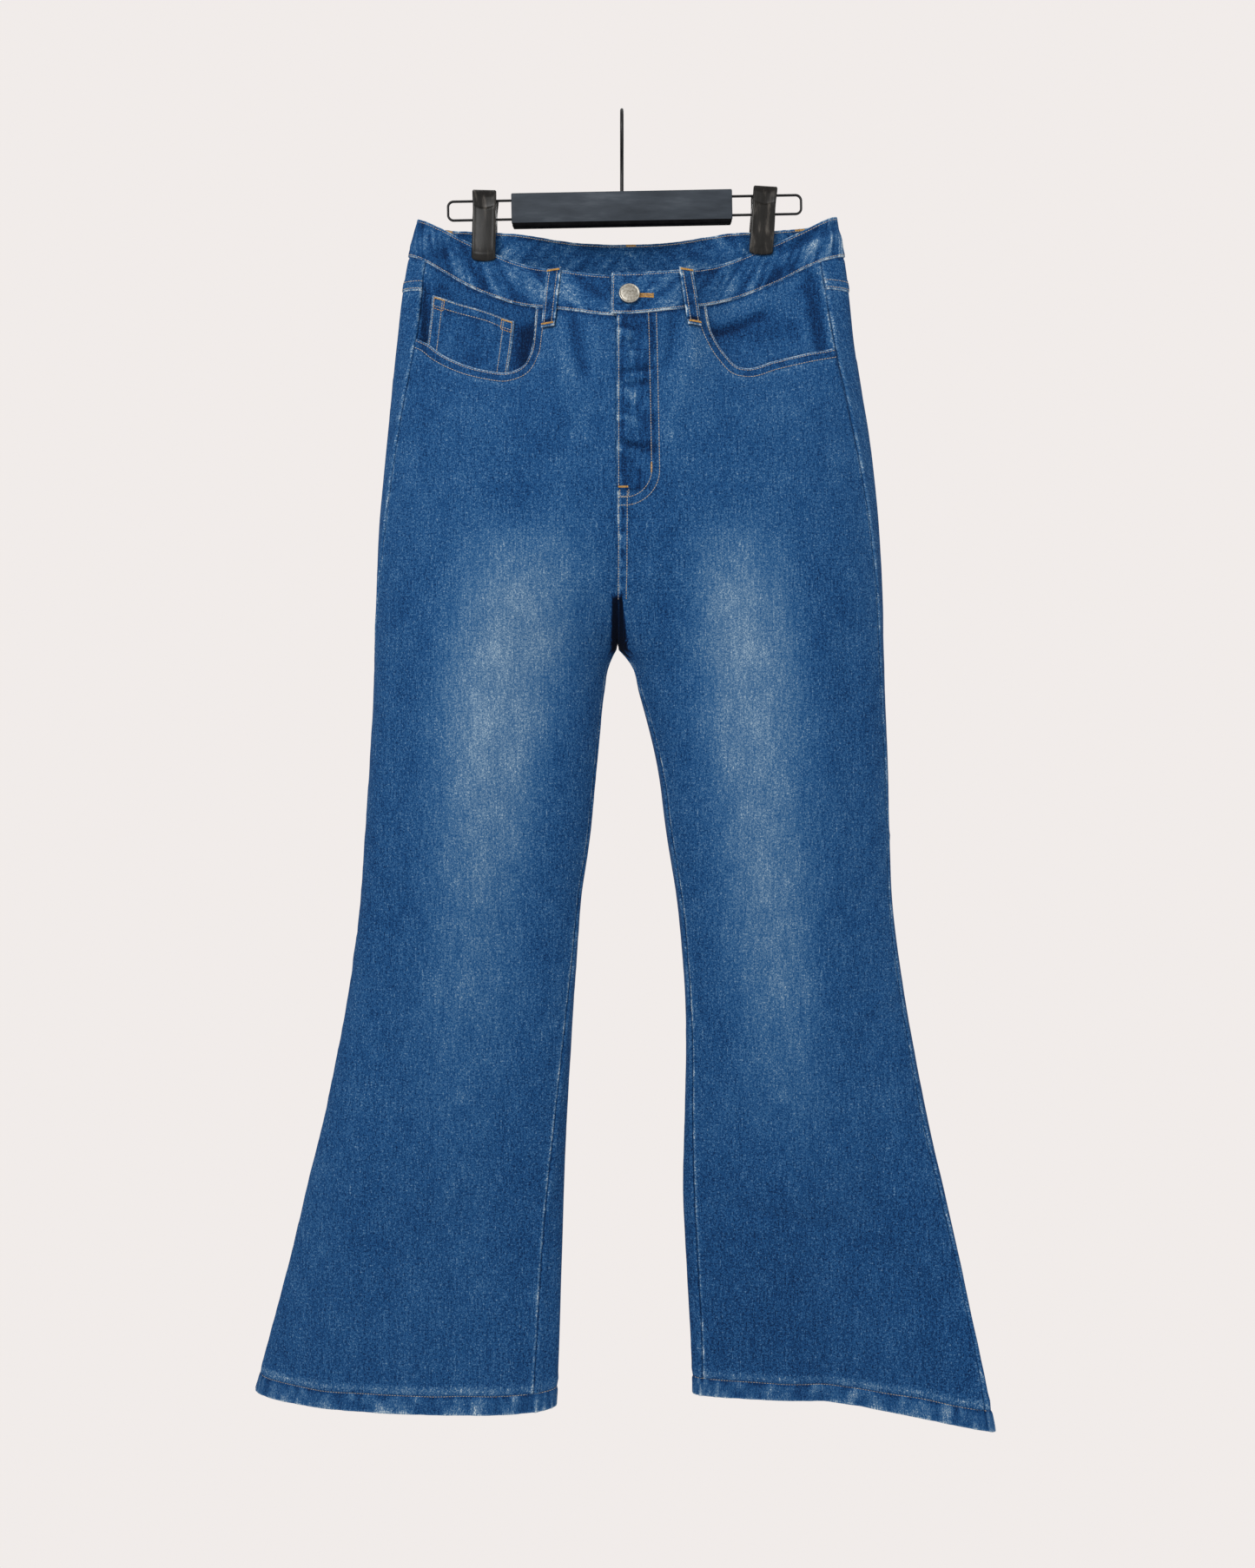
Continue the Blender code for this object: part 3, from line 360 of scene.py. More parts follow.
# Sum over the creases of height exp(-(d / width)^2), d being the distance to the crease's line
def creaseHeight(x, z, rows):
    total = np.zeros_like(x)
    for x0, z0, x1, z1, width, height in np.array(rows) / 1000:
        total += height * bell(lineDistance(x, z, ((x0, z0), (x1, z1))), width)
    return total


# Slack of the cloth that every layer shares: creases, and slow waves of two sizes
def slackAt(theta, x, z):
    wave = np.sin(theta)
    broad = 0.00045 * cloud(x / 0.055 + 9.3, z / 0.085 + 31.7, 4)
    small = 0.00022 * cloud(x / 0.02 + 3.1, z / 0.03 + 40.2, 5)
    onBack = 0.00045 * cloud(x / 0.055 + 40.1, z / 0.085 + 11.7, 6)
    creases = creaseHeight(x, z, frontCreases) * softStep(wave * 5 + 0.35)
    creases += creaseHeight(x, z, backCreases) * softStep(-wave * 5 + 0.35)
    return creases + np.where(wave > 0, broad + small, onBack)


# Painted shade gathered in the troughs, 0 to 1; of a negated height it gives painted highlight on the crests
def troughShade(height, depth):
    return np.clip(-height / depth, 0, 1)


# Materials

# A shader node whose inputs are linked or set
def addNode(tree, kind, inputs=None, **settings):
    made = tree.nodes.new("ShaderNode" + kind)
    for key, value in settings.items():
        setattr(made, key, value)
    for key, value in (inputs or {}).items():
        if isinstance(value, bpy.types.NodeSocket):
            tree.links.new(value, made.inputs[key])
        else:
            made.inputs[key].default_value = value
    return made


# An empty material and its node tree
def newMaterial(name):
    made = bpy.data.materials.new(name)
    made.use_nodes = True
    made.node_tree.nodes.clear()
    return made, made.node_tree


# Ends a material in a shader and its output
def finishMaterial(tree, colour, roughness, sockets):
    shader = addNode(tree, "BsdfPrincipled", {"Base Color": colour, "Roughness": roughness, **sockets})
    addNode(tree, "OutputMaterial", {"Surface": shader.outputs["BSDF"]})


# One Math node's result
def maths(tree, operation, *values):
    return addNode(tree, "Math", dict(enumerate(values)), operation=operation).outputs[0]


# The sum of values, node by node
def added(tree, total, *values):
    for value in values:
        total = maths(tree, "ADD", total, value)
    return total


# Noise over stretched coordinates, as value - 0.5 times strength
def noiseTerm(tree, coordinates, scale, strength, detail):
    placed = addNode(tree, "Mapping", {"Vector": coordinates, "Scale": (*scale, 1.0)}).outputs[0]
    noise = addNode(tree, "TexNoise", {"Vector": placed, "Scale": 1.0, "Detail": detail, "Roughness": 0.55},
                    noise_dimensions="2D").outputs["Fac"]
    return maths(tree, "MULTIPLY", maths(tree, "SUBTRACT", noise, 0.5), strength)


# Colour ramp with a stop at each place
def ramp(tree, value, stops):
    made = addNode(tree, "ValToRGB", {"Fac": value})
    elements = made.color_ramp.elements
    while len(elements) < len(stops):
        elements.new(0.5)
    for element, (at, colour) in zip(elements, stops):
        element.position = at
        element.color = (*colour, 1)
    return made.outputs["Color"]


# Washed denim. tone = base + fade + wear - dark + slubs, grain and clouds; the tone picks the blue.
# fade is the wash's own fading, wear is real rub plus painted highlight on raised cloth, and dark is darker
# tone plus painted shade in troughs, grooves and gaps.
# Each noise has its two scales, strength and detail; the twill lines climb at 60 degrees, and
# bandGap is the spacing of a wave texture's bands at a scale of 1.
denimLook = {
    "base": 0.42, "insideBase": 0.66, "layers": {"fade": 0.32, "wear": 0.5, "dark": -0.3},
    "tones": ((0.00, (0.0018, 0.0125, 0.05)), (0.2, (0.0045, 0.03, 0.103)),
              (0.42, (0.01, 0.067, 0.198)), (0.58, (0.032, 0.113, 0.256)),
              (0.72, (0.088, 0.178, 0.308)), (0.86, (0.225, 0.335, 0.455)),
              (1.00, (0.52, 0.6, 0.65))),
    "grain": ((980.0, 820.0), 0.74, 0.6), "slub": ((640.0, 85.0), 0.3, 1.0),
    "grit": ((440.0, 400.0), 0.46, 1.0), "thickSlub": ((210.0, 30.0), 0.12, 2.0),
    # deepest: the share of colour taken away where dark reaches 2, as a deep painted shadow
    "clouds": ((60.0, 30.0), 0.17, 2.0), "calm": 0.45, "deepest": -0.78,
    "bandGap": 0.314, "twillPitch": 0.00085, "twillLean": -30.0, "twillTone": 0.1, "twillHeight": 0.35,
    "bump": 0.4, "bumpDepth": 0.0003, "roughness": 0.86,
    "sockets": {"Specular IOR Level": 0.08, "Sheen Weight": 0.02, "Sheen Roughness": 0.5},
}


# Denim over the cloth's own map: noises and twill lines make the tone and the bump
def denimMaterial(name, base, readsTones):
    made, tree = newMaterial(name)
    uv = addNode(tree, "UVMap", uv_map="cloth").outputs[0]
    layer = {key: addNode(tree, "Attribute", attribute_name=key).outputs["Fac"]
             for key in denimLook["layers"]}
    grain, slub, grit, thickSlub, clouds = [noiseTerm(tree, uv, *denimLook[key]) for key in
                                            ("grain", "slub", "grit", "thickSlub", "clouds")]
    weave = added(tree, grain, slub, grit)
    if readsTones:
        weave = maths(tree, "MULTIPLY", weave,
                      maths(tree, "MULTIPLY_ADD", layer["fade"], -denimLook["calm"], 1.0))
    tone = added(tree, weave, thickSlub, clouds, base)
    if readsTones:
        tone = added(tree, tone, *[maths(tree, "MULTIPLY", layer[key], strength)
                                   for key, strength in denimLook["layers"].items()])
    lean = addNode(tree, "Mapping", {"Vector": uv, "Rotation": (0, 0, math.radians(denimLook["twillLean"]))})
    bands = denimLook["bandGap"] / denimLook["twillPitch"]
    twill = addNode(tree, "TexWave", {"Vector": lean.outputs[0], "Scale": bands,
                                      "Distortion": 1.5, "Detail": 1.0, "Detail Scale": 1.5},
                    wave_type="BANDS", bands_direction="X").outputs["Fac"]
    line = maths(tree, "SUBTRACT", twill, 0.5)
    tone = added(tree, tone, maths(tree, "MULTIPLY", line, denimLook["twillTone"]))
    height = added(tree, maths(tree, "MULTIPLY", twill, denimLook["twillHeight"]), grain, slub)
    bump = addNode(tree, "Bump", {"Strength": denimLook["bump"], "Distance": denimLook["bumpDepth"],
                                  "Height": height}).outputs[0]
    colour = ramp(tree, tone, denimLook["tones"])
    if readsTones:
        # a dark value above 1 darkens the colour itself, as a deep painted shadow
        deep = maths(tree, "SUBTRACT", layer["dark"], 1.0)
        deep = maths(tree, "MINIMUM", maths(tree, "MAXIMUM", deep, 0.0), 1.0)
        share = maths(tree, "MULTIPLY_ADD", deep, denimLook["deepest"], 1.0)
        colour = addNode(tree, "VectorMath", {"Vector": colour, "Scale": share}, operation="SCALE").outputs[0]
    finishMaterial(tree, colour, denimLook["roughness"], {"Normal": bump, **denimLook["sockets"]})
    return made


# Twisted thread: a fine noise darkens the plies
def threadMaterial(name, light, dark):
    made, tree = newMaterial(name)
    spot = addNode(tree, "TexCoord").outputs["Object"]
    noise = addNode(tree, "TexNoise", {"Vector": spot, "Scale": 900.0, "Detail": 2.0}).outputs["Fac"]
    finishMaterial(tree, ramp(tree, noise, ((0.3, dark), (0.62, light))), 0.62,
                   {"Specular IOR Level": 0.3, "Sheen Weight": 0.1})
    return made


denim = denimMaterial("denim", denimLook["base"], True)
denimInside = denimMaterial("denimInside", denimLook["insideBase"], False)
tanThread = threadMaterial("tanThread", (0.58, 0.51, 0.4), (0.25, 0.21, 0.16))
goldThread = threadMaterial("goldThread", (0.74, 0.42, 0.1), (0.34, 0.16, 0.03))
print("materials made")


# Meshes

# A smooth mesh from points and faces
def newMesh(name, points, faces):
    mesh = bpy.data.meshes.new(name)
    mesh.from_pydata(points.reshape(-1, 3), [], faces)
    mesh.polygons.foreach_set("use_smooth", np.ones(len(mesh.polygons), bool))
    return mesh


# A grid of points as quads, with a UV map in metres and one value a point for each tone
def gridMesh(name, points, uv, tones, closed=False, flip=False):
    rows, wide = points.shape[:2]
    number = np.arange(rows * wide).reshape(rows, wide)
    uvNumber = np.arange(rows * uv.shape[1]).reshape(rows, uv.shape[1])
    if closed:
        number = joined(number, number[:, :1], axis=1)

    def corners(n):
        order = (n[:-1, :-1], n[1:, :-1], n[1:, 1:], n[:-1, 1:])
        return np.stack(order[::-1] if flip else order, axis=-1).reshape(-1, 4)

    mesh = newMesh(name, points, corners(number))
    layer = mesh.uv_layers.new(name="cloth")
    layer.data.foreach_set("uv", uv.reshape(-1, 2)[corners(uvNumber).ravel()].ravel())
    for key in denimLook["layers"]:
        values = np.broadcast_to(tones.get(key, 0), (rows, wide)).astype(np.float32)
        mesh.attributes.new(key, "FLOAT", "POINT").data.foreach_set("value", values.ravel())
    mesh.update()
    return mesh


# Runs bmesh work on a mesh and turns its faces outwards
def reshaped(mesh, work):
    shell = bmesh.new()
    shell.from_mesh(mesh)
    work(shell)
    bmesh.ops.recalc_face_normals(shell, faces=shell.faces)
    shell.to_mesh(mesh)
    shell.free()
    return mesh


# An object at the origin, linked to the scene
def newObject(name, data):
    made = bpy.data.objects.new(name, data)
    bpy.context.scene.collection.objects.link(made)
    return made


# Links a mesh with its materials and hides the solids that it stands for
def place(name, mesh, materials, nodes=()):
    made = newObject(name, mesh)
    for finish in materials:
        mesh.materials.append(finish)
    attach(made, "root")
    if nodes:
        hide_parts(*nodes)
    return made


# A cut piece of cloth: its faces point away from the body and its inner face is paler
def clothPiece(name, points, uv, tones, node):
    turn = np.cross(points[1:, 1:] - points[:-1, :-1], points[:-1, 1:] - points[1:, :-1])[..., 1].sum()
    mesh = gridMesh(name, points, uv, tones, flip=(turn > 0) != (points[..., 1].mean() > 0))
    made = place(name, mesh, (denim, denimInside), (node,))
    wall = made.modifiers.new("wall", "SOLIDIFY")
    wall.thickness = denimCut["layer"]
    wall.offset = 0
    wall.material_offset = 1
    return made


# Running length round the ring from the grain line, at each point's own height
def grainCoordinates(side, theta, z, grainX, back):
    theta, z = np.broadcast_arrays(theta, z)
    start = thetaAt(side, grainX, z, back)
    steps = np.linspace(0, 1, 13)[:, None, None]
    points = ringPoint(side, start + (theta - start) * steps, z + 0 * steps)
    length = np.linalg.norm(np.diff(points, axis=0), axis=-1).sum(0)
    return np.stack((length * np.sign(theta - start), z), axis=-1)


# A name with its side
def sided(name, side):
    return name + side.capitalize()


# Sews a grid of angles, heights and relief on as a piece; crosswise turns its grain by a quarter
def sew(name, node, rests, side, theta, z, height, tones, grainX=0.13, back=False, crosswise=False):
    points = clothPoint(side, theta, z, height)
    uv = grainCoordinates(side, theta, z, sideSign[side] * grainX, back)
    clothPiece(name, points, uv[..., ::-1] if crosswise else uv, tones, node)


# The jeans' panels

# Mouth of each scoop pocket, from the waistband to the side seam, in millimetres
scoops = {side: np.array(rows) / 1000 for side, rows in {
    "right": (
        (-76, -180), (-78, -206), (-81, -224), (-87, -236), (-100, -241.5), (-119, -239), (-144, -230.5),
        (-163, -220), (-174, -211), (-185, -206),
    ),
    "left": (
        (74.5, -178.5), (78, -201), (84, -215), (93, -228), (101, -236), (110, -237.5), (133.5, -230),
        (163, -222), (188.5, -216.3),
    ),
}.items()}
fly = {"width": 0.0325, "bottomZ": -0.3605, "round": 0.03, "raise": 0.0012, "puff": 0.001,
       "foot": -0.345, "topX": 0.03, "ridgeX": 0.005, "ridgeTopZ": -0.198, "ridgeFootZ": -0.31}
panel = {
    "rowsUpper": 170, "rowsLower": 150, "seamColumns": 50, "scoopColumns": 62, "backColumns": 76,
    "backRowsUpper": 66, "backRowsLower": 116,
    "edgeRoll": 0.0009, "edgeWidth": 0.0008, "tuck": 0.0024, "hemFold": 0.0078, "scoopRaise": 0.0007,
    "gapTopZ": -0.435, "gapLeftX": -0.0105, "gapRightX": 0.0012, "gapSlope": 0.1, "ribPitch": 0.0042,
    "puckerPitch": 0.0062,
}

# For each seam: the ridge's height, place and width, the puckers' reach and height, the pale line's
# place, width, strength and unevenness, and how pale the puckers' tops are, partly rub and partly painted
# highlight
seamLooks = {
    "frontSide": (0.0004, 0.002, 0.004, 0.008, 0.00035, 0.0012, 0.001, 0.22, 0.3, 0.17),
    "frontInner": (0.0004, 0.002, 0.004, 0.008, 0.00035, 0.0015, 0.001, 0.58, 0.3, 0.22),
    "backSide": (0.0008, 0.0022, 0.003, 0.007, 0.00035, 0.0012, 0.0011, 0.42, 0.35, 0.12),
    "backInner": (0.0008, 0.0022, 0.003, 0.007, 0.00035, 0.0012, 0.001, 0.22, 0.25, 0.12),
    "facingSide": (0.0004, 0.002, 0.004, 0.008, 0.0003, 0.0012, 0.001, 0.3, 0.3, 0.1),
}


# The scoop's points as a smooth line, evenly spaced along its length
def scoopLine(side, count=61, ends=0.3):
    scoop = scoops[side]
    length = runLength(scoop)
    at = length[-1] * spread(count, ends)
    return np.stack((smoothCurve(length, scoop[:, 0], at), smoothCurve(length, scoop[:, 1], at)), -1)


# How far the waistband's lower end has sunk under its upper end, 0 to 1
def lapSink(x):
    return softStep((x - waist["dipX"]) / (waist["upperEndX"] - 0.006 - waist["dipX"]))


# Distance inside the fly's J: to its straight side, or to the round corner at its foot
def flyInside(x, z):
    cornerX, cornerZ = fly["width"] - fly["round"], fly["bottomZ"] + fly["round"]
    inside = fly["round"] - np.hypot(over(x - cornerX), over(cornerZ - z))
    return np.where((x < cornerX) & (z > cornerZ), fly["round"], inside)


# Uneven puckers along a seam: small waves across it that die away within reach
def puckers(along, d, pitch, reach, seed):
    return cloud(along / pitch + 7, d / (pitch * 1.6) + seed, seed) * np.exp(-np.abs(d) / reach)


# A cut edge rolls under: depth times a narrow bell
def rolled(d):
    return panel["edgeRoll"] * bell(d, panel["edgeWidth"])


# A seam pressed open, d away: a low ridge beside the groove, puckers across it, and a pale line and pale
# pucker tops that are partly rub and partly painted highlight
def pressedSeam(along, d, look, seed):
    ridge, ridgeAt, ridgeWidth, reach, pucker, lineAt, lineWidth, line, uneven, crestRubAndHighlight = seamLooks[look]
    ripple = puckers(along, d, panel["puckerPitch"], reach, seed)
    height = ridge * bell(d - ridgeAt, ridgeWidth) + pucker * ripple
    return height, bell(d - lineAt, lineWidth) * (line + uneven * ripple) + crestRubAndHighlight * over(ripple), ripple


# The three values that the denim reads at each point
def toneSet(wear, dark, fade):
    return {"wear": wear, "dark": dark, "fade": fade}


# Relief and tones that a leg's front and back share: slack, the side seam, the inseam and the pull
# above the hem. Distances run into the panel from each seam.
def legSkin(side, theta, z, back):
    part, way = ("back", -1) if back else ("front", 1)
    x = ringPoint(side, theta, z)[..., 0]
    speed = arcSpeed(side, theta, z) * way
    dSide = (sideTheta(side, z, back) - theta) * speed
    dInner = (theta - innerTheta(side, z, back)) * speed
    dHem = z - body["hemTopZ"]
    above = softStep((z - body["crotchZ"]) / 0.02)
    seed = 11 + 2 * back + (side == "left")
    slack = slackAt(theta, x, z)
    ridge, pale, _ = pressedSeam(z, dSide, part + "Side", seed)
    innerRidge, innerPale, ripple = pressedSeam(z, dInner, part + "Inner", seed + 2)
    height = slack + ridge - rolled(dSide) + (1 - above) * innerRidge
    height -= rolled(dInner) * (1 - (0.5 if back else 1) * above)
    wear = pale + (1 - above) * innerPale
    # above the hem's stitching the cloth is drawn up and rubbed, and its raised band is also painted pale as
    # a highlight
    pull = puckers(x, dHem, 0.007, 0.01, seed + 6)
    height += 0.0005 * bell(dHem - 0.005, 0.004) * (1 + 0.7 * pull) - 0.0006 * bell(dHem, 0.0016)
    wear += bell(dHem - 0.0036, 0.0024) * (0.56 + 0.45 * pull)
    return x, slack, height, wear, dSide, dInner, above, ripple


# Relief, rub and shade that the fly adds: the fold beside the centre seam, and the puffed J whose
# wrinkles are rubbed along a ridge, painted pale as highlight on their crests and dark as painted shade in
# their troughs
def flySkin(x, z, dInner, dBand, above):
    lap = above * softStep((z - body["crotchZ"]) / 0.06)
    underBand = softStep((dBand - 0.003) / 0.012)
    inFly = flyInside(x, z) * softStep((z - fly["foot"]) / 0.004 + 1)
    puff = softStep(inFly / 0.006) * softStep((z - fly["bottomZ"]) / 0.012)
    belowFly = lap * (z < fly["foot"])
    wrinkle = cloud(z / 0.0075 + 2.2, x / 0.024 + 1.1, 21)
    fine = cloud(z / 0.0052 + 9.2, x / 0.012 + 5.1, 22)
    streak = cloud(x / 0.0028 + 6, z / 0.013 + 8, 24)
    mottle = puckers(z, dInner - 0.005, 0.0045, 0.006, 23) * (dInner < 0.011)
    swell = fly["puff"] + 0.0006 * wrinkle + 0.0003 * fine + 0.0008 * bell(x - 0.006, 0.007)
    fold = lap * fly["raise"] * (1 - softStep((dInner - 0.0095) / 0.003))
    height = (puff * swell + fold) * underBand - lap * rolled(dInner)
    height -= belowFly * 0.0003 * (bell(dInner - 0.0016, 0.0006) + bell(dInner - 0.0088, 0.0006))
    ridge = bell(x - fly["ridgeX"], 0.0085) * softStep((z - fly["ridgeFootZ"]) / 0.01)
    ridge *= softStep((fly["ridgeTopZ"] - z) / 0.02) * np.clip(0.8 + 0.7 * fine + 0.5 * wrinkle, 0, 1.2)
    # rub along the ridge and in streaks, and painted highlight on the wrinkles' crests
    wear = puff * (0.34 * ridge + 0.12 * over(wrinkle))
    wear += puff * underBand * (0.36 * over(streak) + 0.2 * over(fine))
    wear += lap * bell(dInner - 0.0007, 0.0012) * (0.62 + 0.3 * fine)
    wear += lap * bell(dInner - 0.0024, 0.002) * (0.34 + 0.25 * fine) + belowFly * over(mottle)
    # a darker fly and a dark line along its fold, with painted shade in the wrinkles' troughs and along the
    # J's stitch rows
    dark = lap * softStep(inFly / 0.006) * (0.32 + 0.4 * over(-streak))
    dark += belowFly * 0.8 * over(-mottle) + puff * (0.14 + 0.4 * over(-wrinkle))
    dark += lap * 0.6 * bell(dInner - 0.0052, 0.0012)
    dark += 0.3 * puff * (bell(inFly - 0.0004, 0.0008) + bell(inFly - 0.0068, 0.0008))
    return height, wear, dark


# Relief and tones of a front panel: the leg's own, and the pocket's mouth, the waistband's painted shade,
# the fly or the edge under it, and the painted deep shadow between the legs
def frontSkin(side, theta, z):
    x, slack, height, wear, dSide, dInner, above, _ = legSkin(side, theta, z, False)
    dScoop = lineDistance(x, z, scoopLine(side))
    dBand = bandEdge("front_seam", x) - z
    upper = softStep((z + 0.33) / 0.02)
    # painted shade in the creases' troughs and painted highlight on their crests, on the upper panel
    dark = 0.7 * upper * troughShade(slack, 0.0022)
    wear += 0.3 * upper * troughShade(0.0002 - slack, 0.002)
    # pocket mouth: a folded hem under two stitch rows, pale along its rubbed edge, its pucker tops partly
    # painted highlight
    ripple = puckers(x + z, dScoop - 0.004, 0.005, 0.007, 15 + (side == "left"))
    raised = 1 - softStep((dScoop - panel["hemFold"]) / 0.0016)
    height += panel["scoopRaise"] * raised + 0.00025 * ripple - rolled(dScoop)
    height -= 0.0003 * (bell(dScoop - 0.002, 0.0006) + bell(dScoop - 0.0082, 0.0006))
    height -= 0.0007 * bell(dBand - 0.0005, 0.0015)
    wear += bell(dScoop - 0.0002, 0.001) * 1.05 + 0.26 * over(ripple)
    wear += 0.18 * bell(dScoop - 0.0105, 0.0016) * (1 + ripple)
    # painted shade under the waistband's edge, a darker band between the mouth's rows, and painted shade in
    # the rows' grooves
    dark += 0.55 * bell(dBand - 0.001, 0.0028) + 0.42 * bell(dScoop - 0.005, 0.0034)
    dark += 0.25 * (bell(dScoop - 0.0022, 0.0007) + bell(dScoop - 0.0082, 0.0007))
    if side == "left":
        relief, flyRubAndHighlight, shade = flySkin(x, z, dInner, dBand, above)
        height += relief
        wear += flyRubAndHighlight
        dark += shade
    else:
        # it sinks with the waistband's lower end, and along the fly's fold
        height -= waist["sink"] * lapSink(x) * (1 - softStep((dBand - 0.002) / 0.018))
        height -= above * 0.0012 * softStep((0.005 - dInner) / 0.005)
        # painted shade where this half runs under the fly's fold
        dark += above * 0.3 * bell(dInner, 0.0015)
    # painted shade in the side seam's and the inseam's grooves, and round the crotch
    dark += 0.45 * bell(dSide, 0.0008) + (1 - above) * 0.55 * bell(dInner, 0.0007)
    dark += 0.3 * bell(np.hypot(x - body["centreX"], z - body["crotchZ"]), 0.014)
    # the cloth turns under between the legs: a painted deep shadow with faint ribs
    deep = panel["gapTopZ"] - z
    right = panel["gapRightX"] + panel["gapSlope"] * deep
    gap = softStep((x - panel["gapLeftX"]) / 0.001) * softStep((right - x) / 0.001)
    ribs = 1 - 0.25 * bell(np.mod(x, panel["ribPitch"]) - panel["ribPitch"] / 2, 0.0006)
    dark = np.clip(dark, 0, 1) + 2 * gap * softStep(deep / 0.005) * ribs
    return height, toneSet(np.clip(wear, 0, 1.2), dark, thighFade(side, x, z) + hipTone(x, z))


# Long faded patches down each thigh: rows of height, centre and half width in millimetres, and
# strength in thousandths
fadeRows = {
    "right": (
        (-350, -88, 48, 0), (-372, -88, 51, 200), (-395, -89, 53, 580), (-425, -93, 55, 860),
        (-480, -102, 55, 950), (-540, -110, 52, 930), (-620, -120, 47, 820), (-700, -126, 44, 640),
        (-780, -136, 42, 460), (-860, -146, 42, 220), (-940, -155, 40, 30), (-1000, -160, 40, 0),
    ),
    "left": (
        (-348, 100, 34, 0), (-372, 100, 38, 140), (-398, 100, 42, 480), (-430, 102, 44, 740),
        (-480, 107, 46, 820), (-540, 113, 46, 800), (-620, 120, 43, 760), (-700, 128, 40, 760),
        (-780, 134, 38, 680), (-860, 142, 36, 380), (-940, 148, 36, 60), (-1000, 150, 36, 0),
    ),
}


# strength exp(-|d / width|^2.8), d being the distance from the patch's centre
def thighFade(side, x, z):
    rows = columns("z centre width strength", sorted(fadeRows[side]))
    names = ("centre", "width", "strength")
    centre, width, strength = [smoothCurve(rows["z"], rows[name], z) for name in names]
    uneven = 1 + 0.1 * cloud(x / 0.018 + 5, z / 0.07 + 12, 31)
    return over(strength) * np.exp(-np.abs((x - centre) / width) ** 2.8) * uneven


# Hips a little lighter than the lower legs
def hipTone(x, z):
    lower = softStep((-0.86 - z) / 0.16) * (0.05 + 0.13 * (x > 0))
    return 0.06 * softStep((z + 0.46) / 0.2) + 0.1 * cloud(x / 0.045 + 4, z / 0.09 + 8, 33) - lower


# Level rows below the middle, the last two close together over the hem's edge
def lowRows(rows):
    low = np.linspace(body["panelMidZ"], body["hemTopZ"], rows)[1:-1]
    return joined(low, (body["hemTopZ"] + 0.001, body["hemTopZ"] - 0.0006))[:, None]


# Front panel: columns run from the waistband and the pocket's mouth down to level rows
def makeFront(side):
    scoop = scoopLine(side, panel["scoopColumns"], 0.35)
    centre = body["centreX"] + sideSign[side] * denimCut["seam"]
    # narrow columns at the centre front, wider ones towards the pocket
    gaps = np.interp(np.linspace(0, 1, panel["seamColumns"]), (0, 0.2, 0.7, 1), (0.5, 1, 1.3, 3))
    flatX = centre + (scoop[0, 0] - centre) * np.append(0, np.cumsum(gaps)) / gaps.sum()
    x = joined(flatX, scoop[1:, 0])
    topZ = joined(bandEdge("front_seam", flatX) + panel["tuck"], scoop[1:, 1])
    inner, outer = innerTheta(side, topZ), sideTheta(side, topZ)
    topShare = np.clip((thetaAt(side, x, topZ) - inner) / (outer - inner), 0, 1)
    topShare[[0, -1]] = 0, 1
    down = joined((0, 0.0018, 0.0042, 0.008, 0.0135), np.linspace(0.02, 1, panel["rowsUpper"]))[:, None]
    low = lowRows(panel["rowsLower"])
    z = joined(topZ + (body["panelMidZ"] - topZ) * down, low + 0 * topZ)
    blend = joined(softStep(down), np.ones_like(low))
    share = topShare + (spread(len(x), 0.75) - topShare) * blend
    theta = betweenSeams(side, share, z, False)
    height, tones = frontSkin(side, theta, z)
    if side == "right":
        # the right half runs on under the fly's fold
        reach = 0.004 * softStep((z - body["crotchZ"] + 0.002) / 0.004) * bell(share, 0.02)
        theta = theta - reach / arcSpeed(side, theta, z)
    sew(sided("frontPanel", side), "front_" + side, "waistband", side, theta, z, height, tones)


# Relief and tones of the back: the leg's own, the lapped seat seam and worn patches
def backSkin(side, theta, z):
    x, _, height, wear, dSide, dInner, above, ripple = legSkin(side, theta, z, True)
    if side == "left":
        height += above * (1 - softStep((dInner - 0.0095) / 0.003)) * 0.0008
        wear += above * (0.7 * bell(dInner - 0.0006, 0.0009) + 0.35 * over(ripple) * (dInner < 0.011))
    # painted shade in the side seam's and the centre seam's grooves
    dark = 0.45 * bell(dSide, 0.0008) + 0.7 * bell(dInner, 0.001)
    seat = bell(x - sideSign[side] * 0.105, 0.05) * bell(z + 0.33, 0.09)
    thigh = bell(x - sideSign[side] * 0.12, 0.045) * bell(z + 0.6, 0.2)
    uneven = 1 + 0.3 * cloud(x / 0.018 + 2, z / 0.07 + 1, 34)
    fade = (0.3 * seat + 0.34 * thigh) * uneven * softStep(-4 * np.sin(theta)) + hipTone(x, z)
    return height, toneSet(np.clip(wear, 0, 1.2), dark, fade)


backShares = spread(panel["backColumns"], 0.6)


# Top edge of the back panel and of the yoke, solved column by column
def backEdges(side):
    seamZ = np.full(len(backShares), body["yokeSideZ"])
    topZ = seamZ.copy()
    for _ in range(6):
        seamZ = yokeSeam(side, betweenSeams(side, backShares, seamZ, True), seamZ)
        theta = betweenSeams(side, backShares, topZ, True)
        x = ringPoint(side, theta, topZ)[:, 0]
        topZ = np.where(theta < math.pi, bandEdge("front_seam", x), bandEdge("back_seam", x))
    return seamZ, topZ


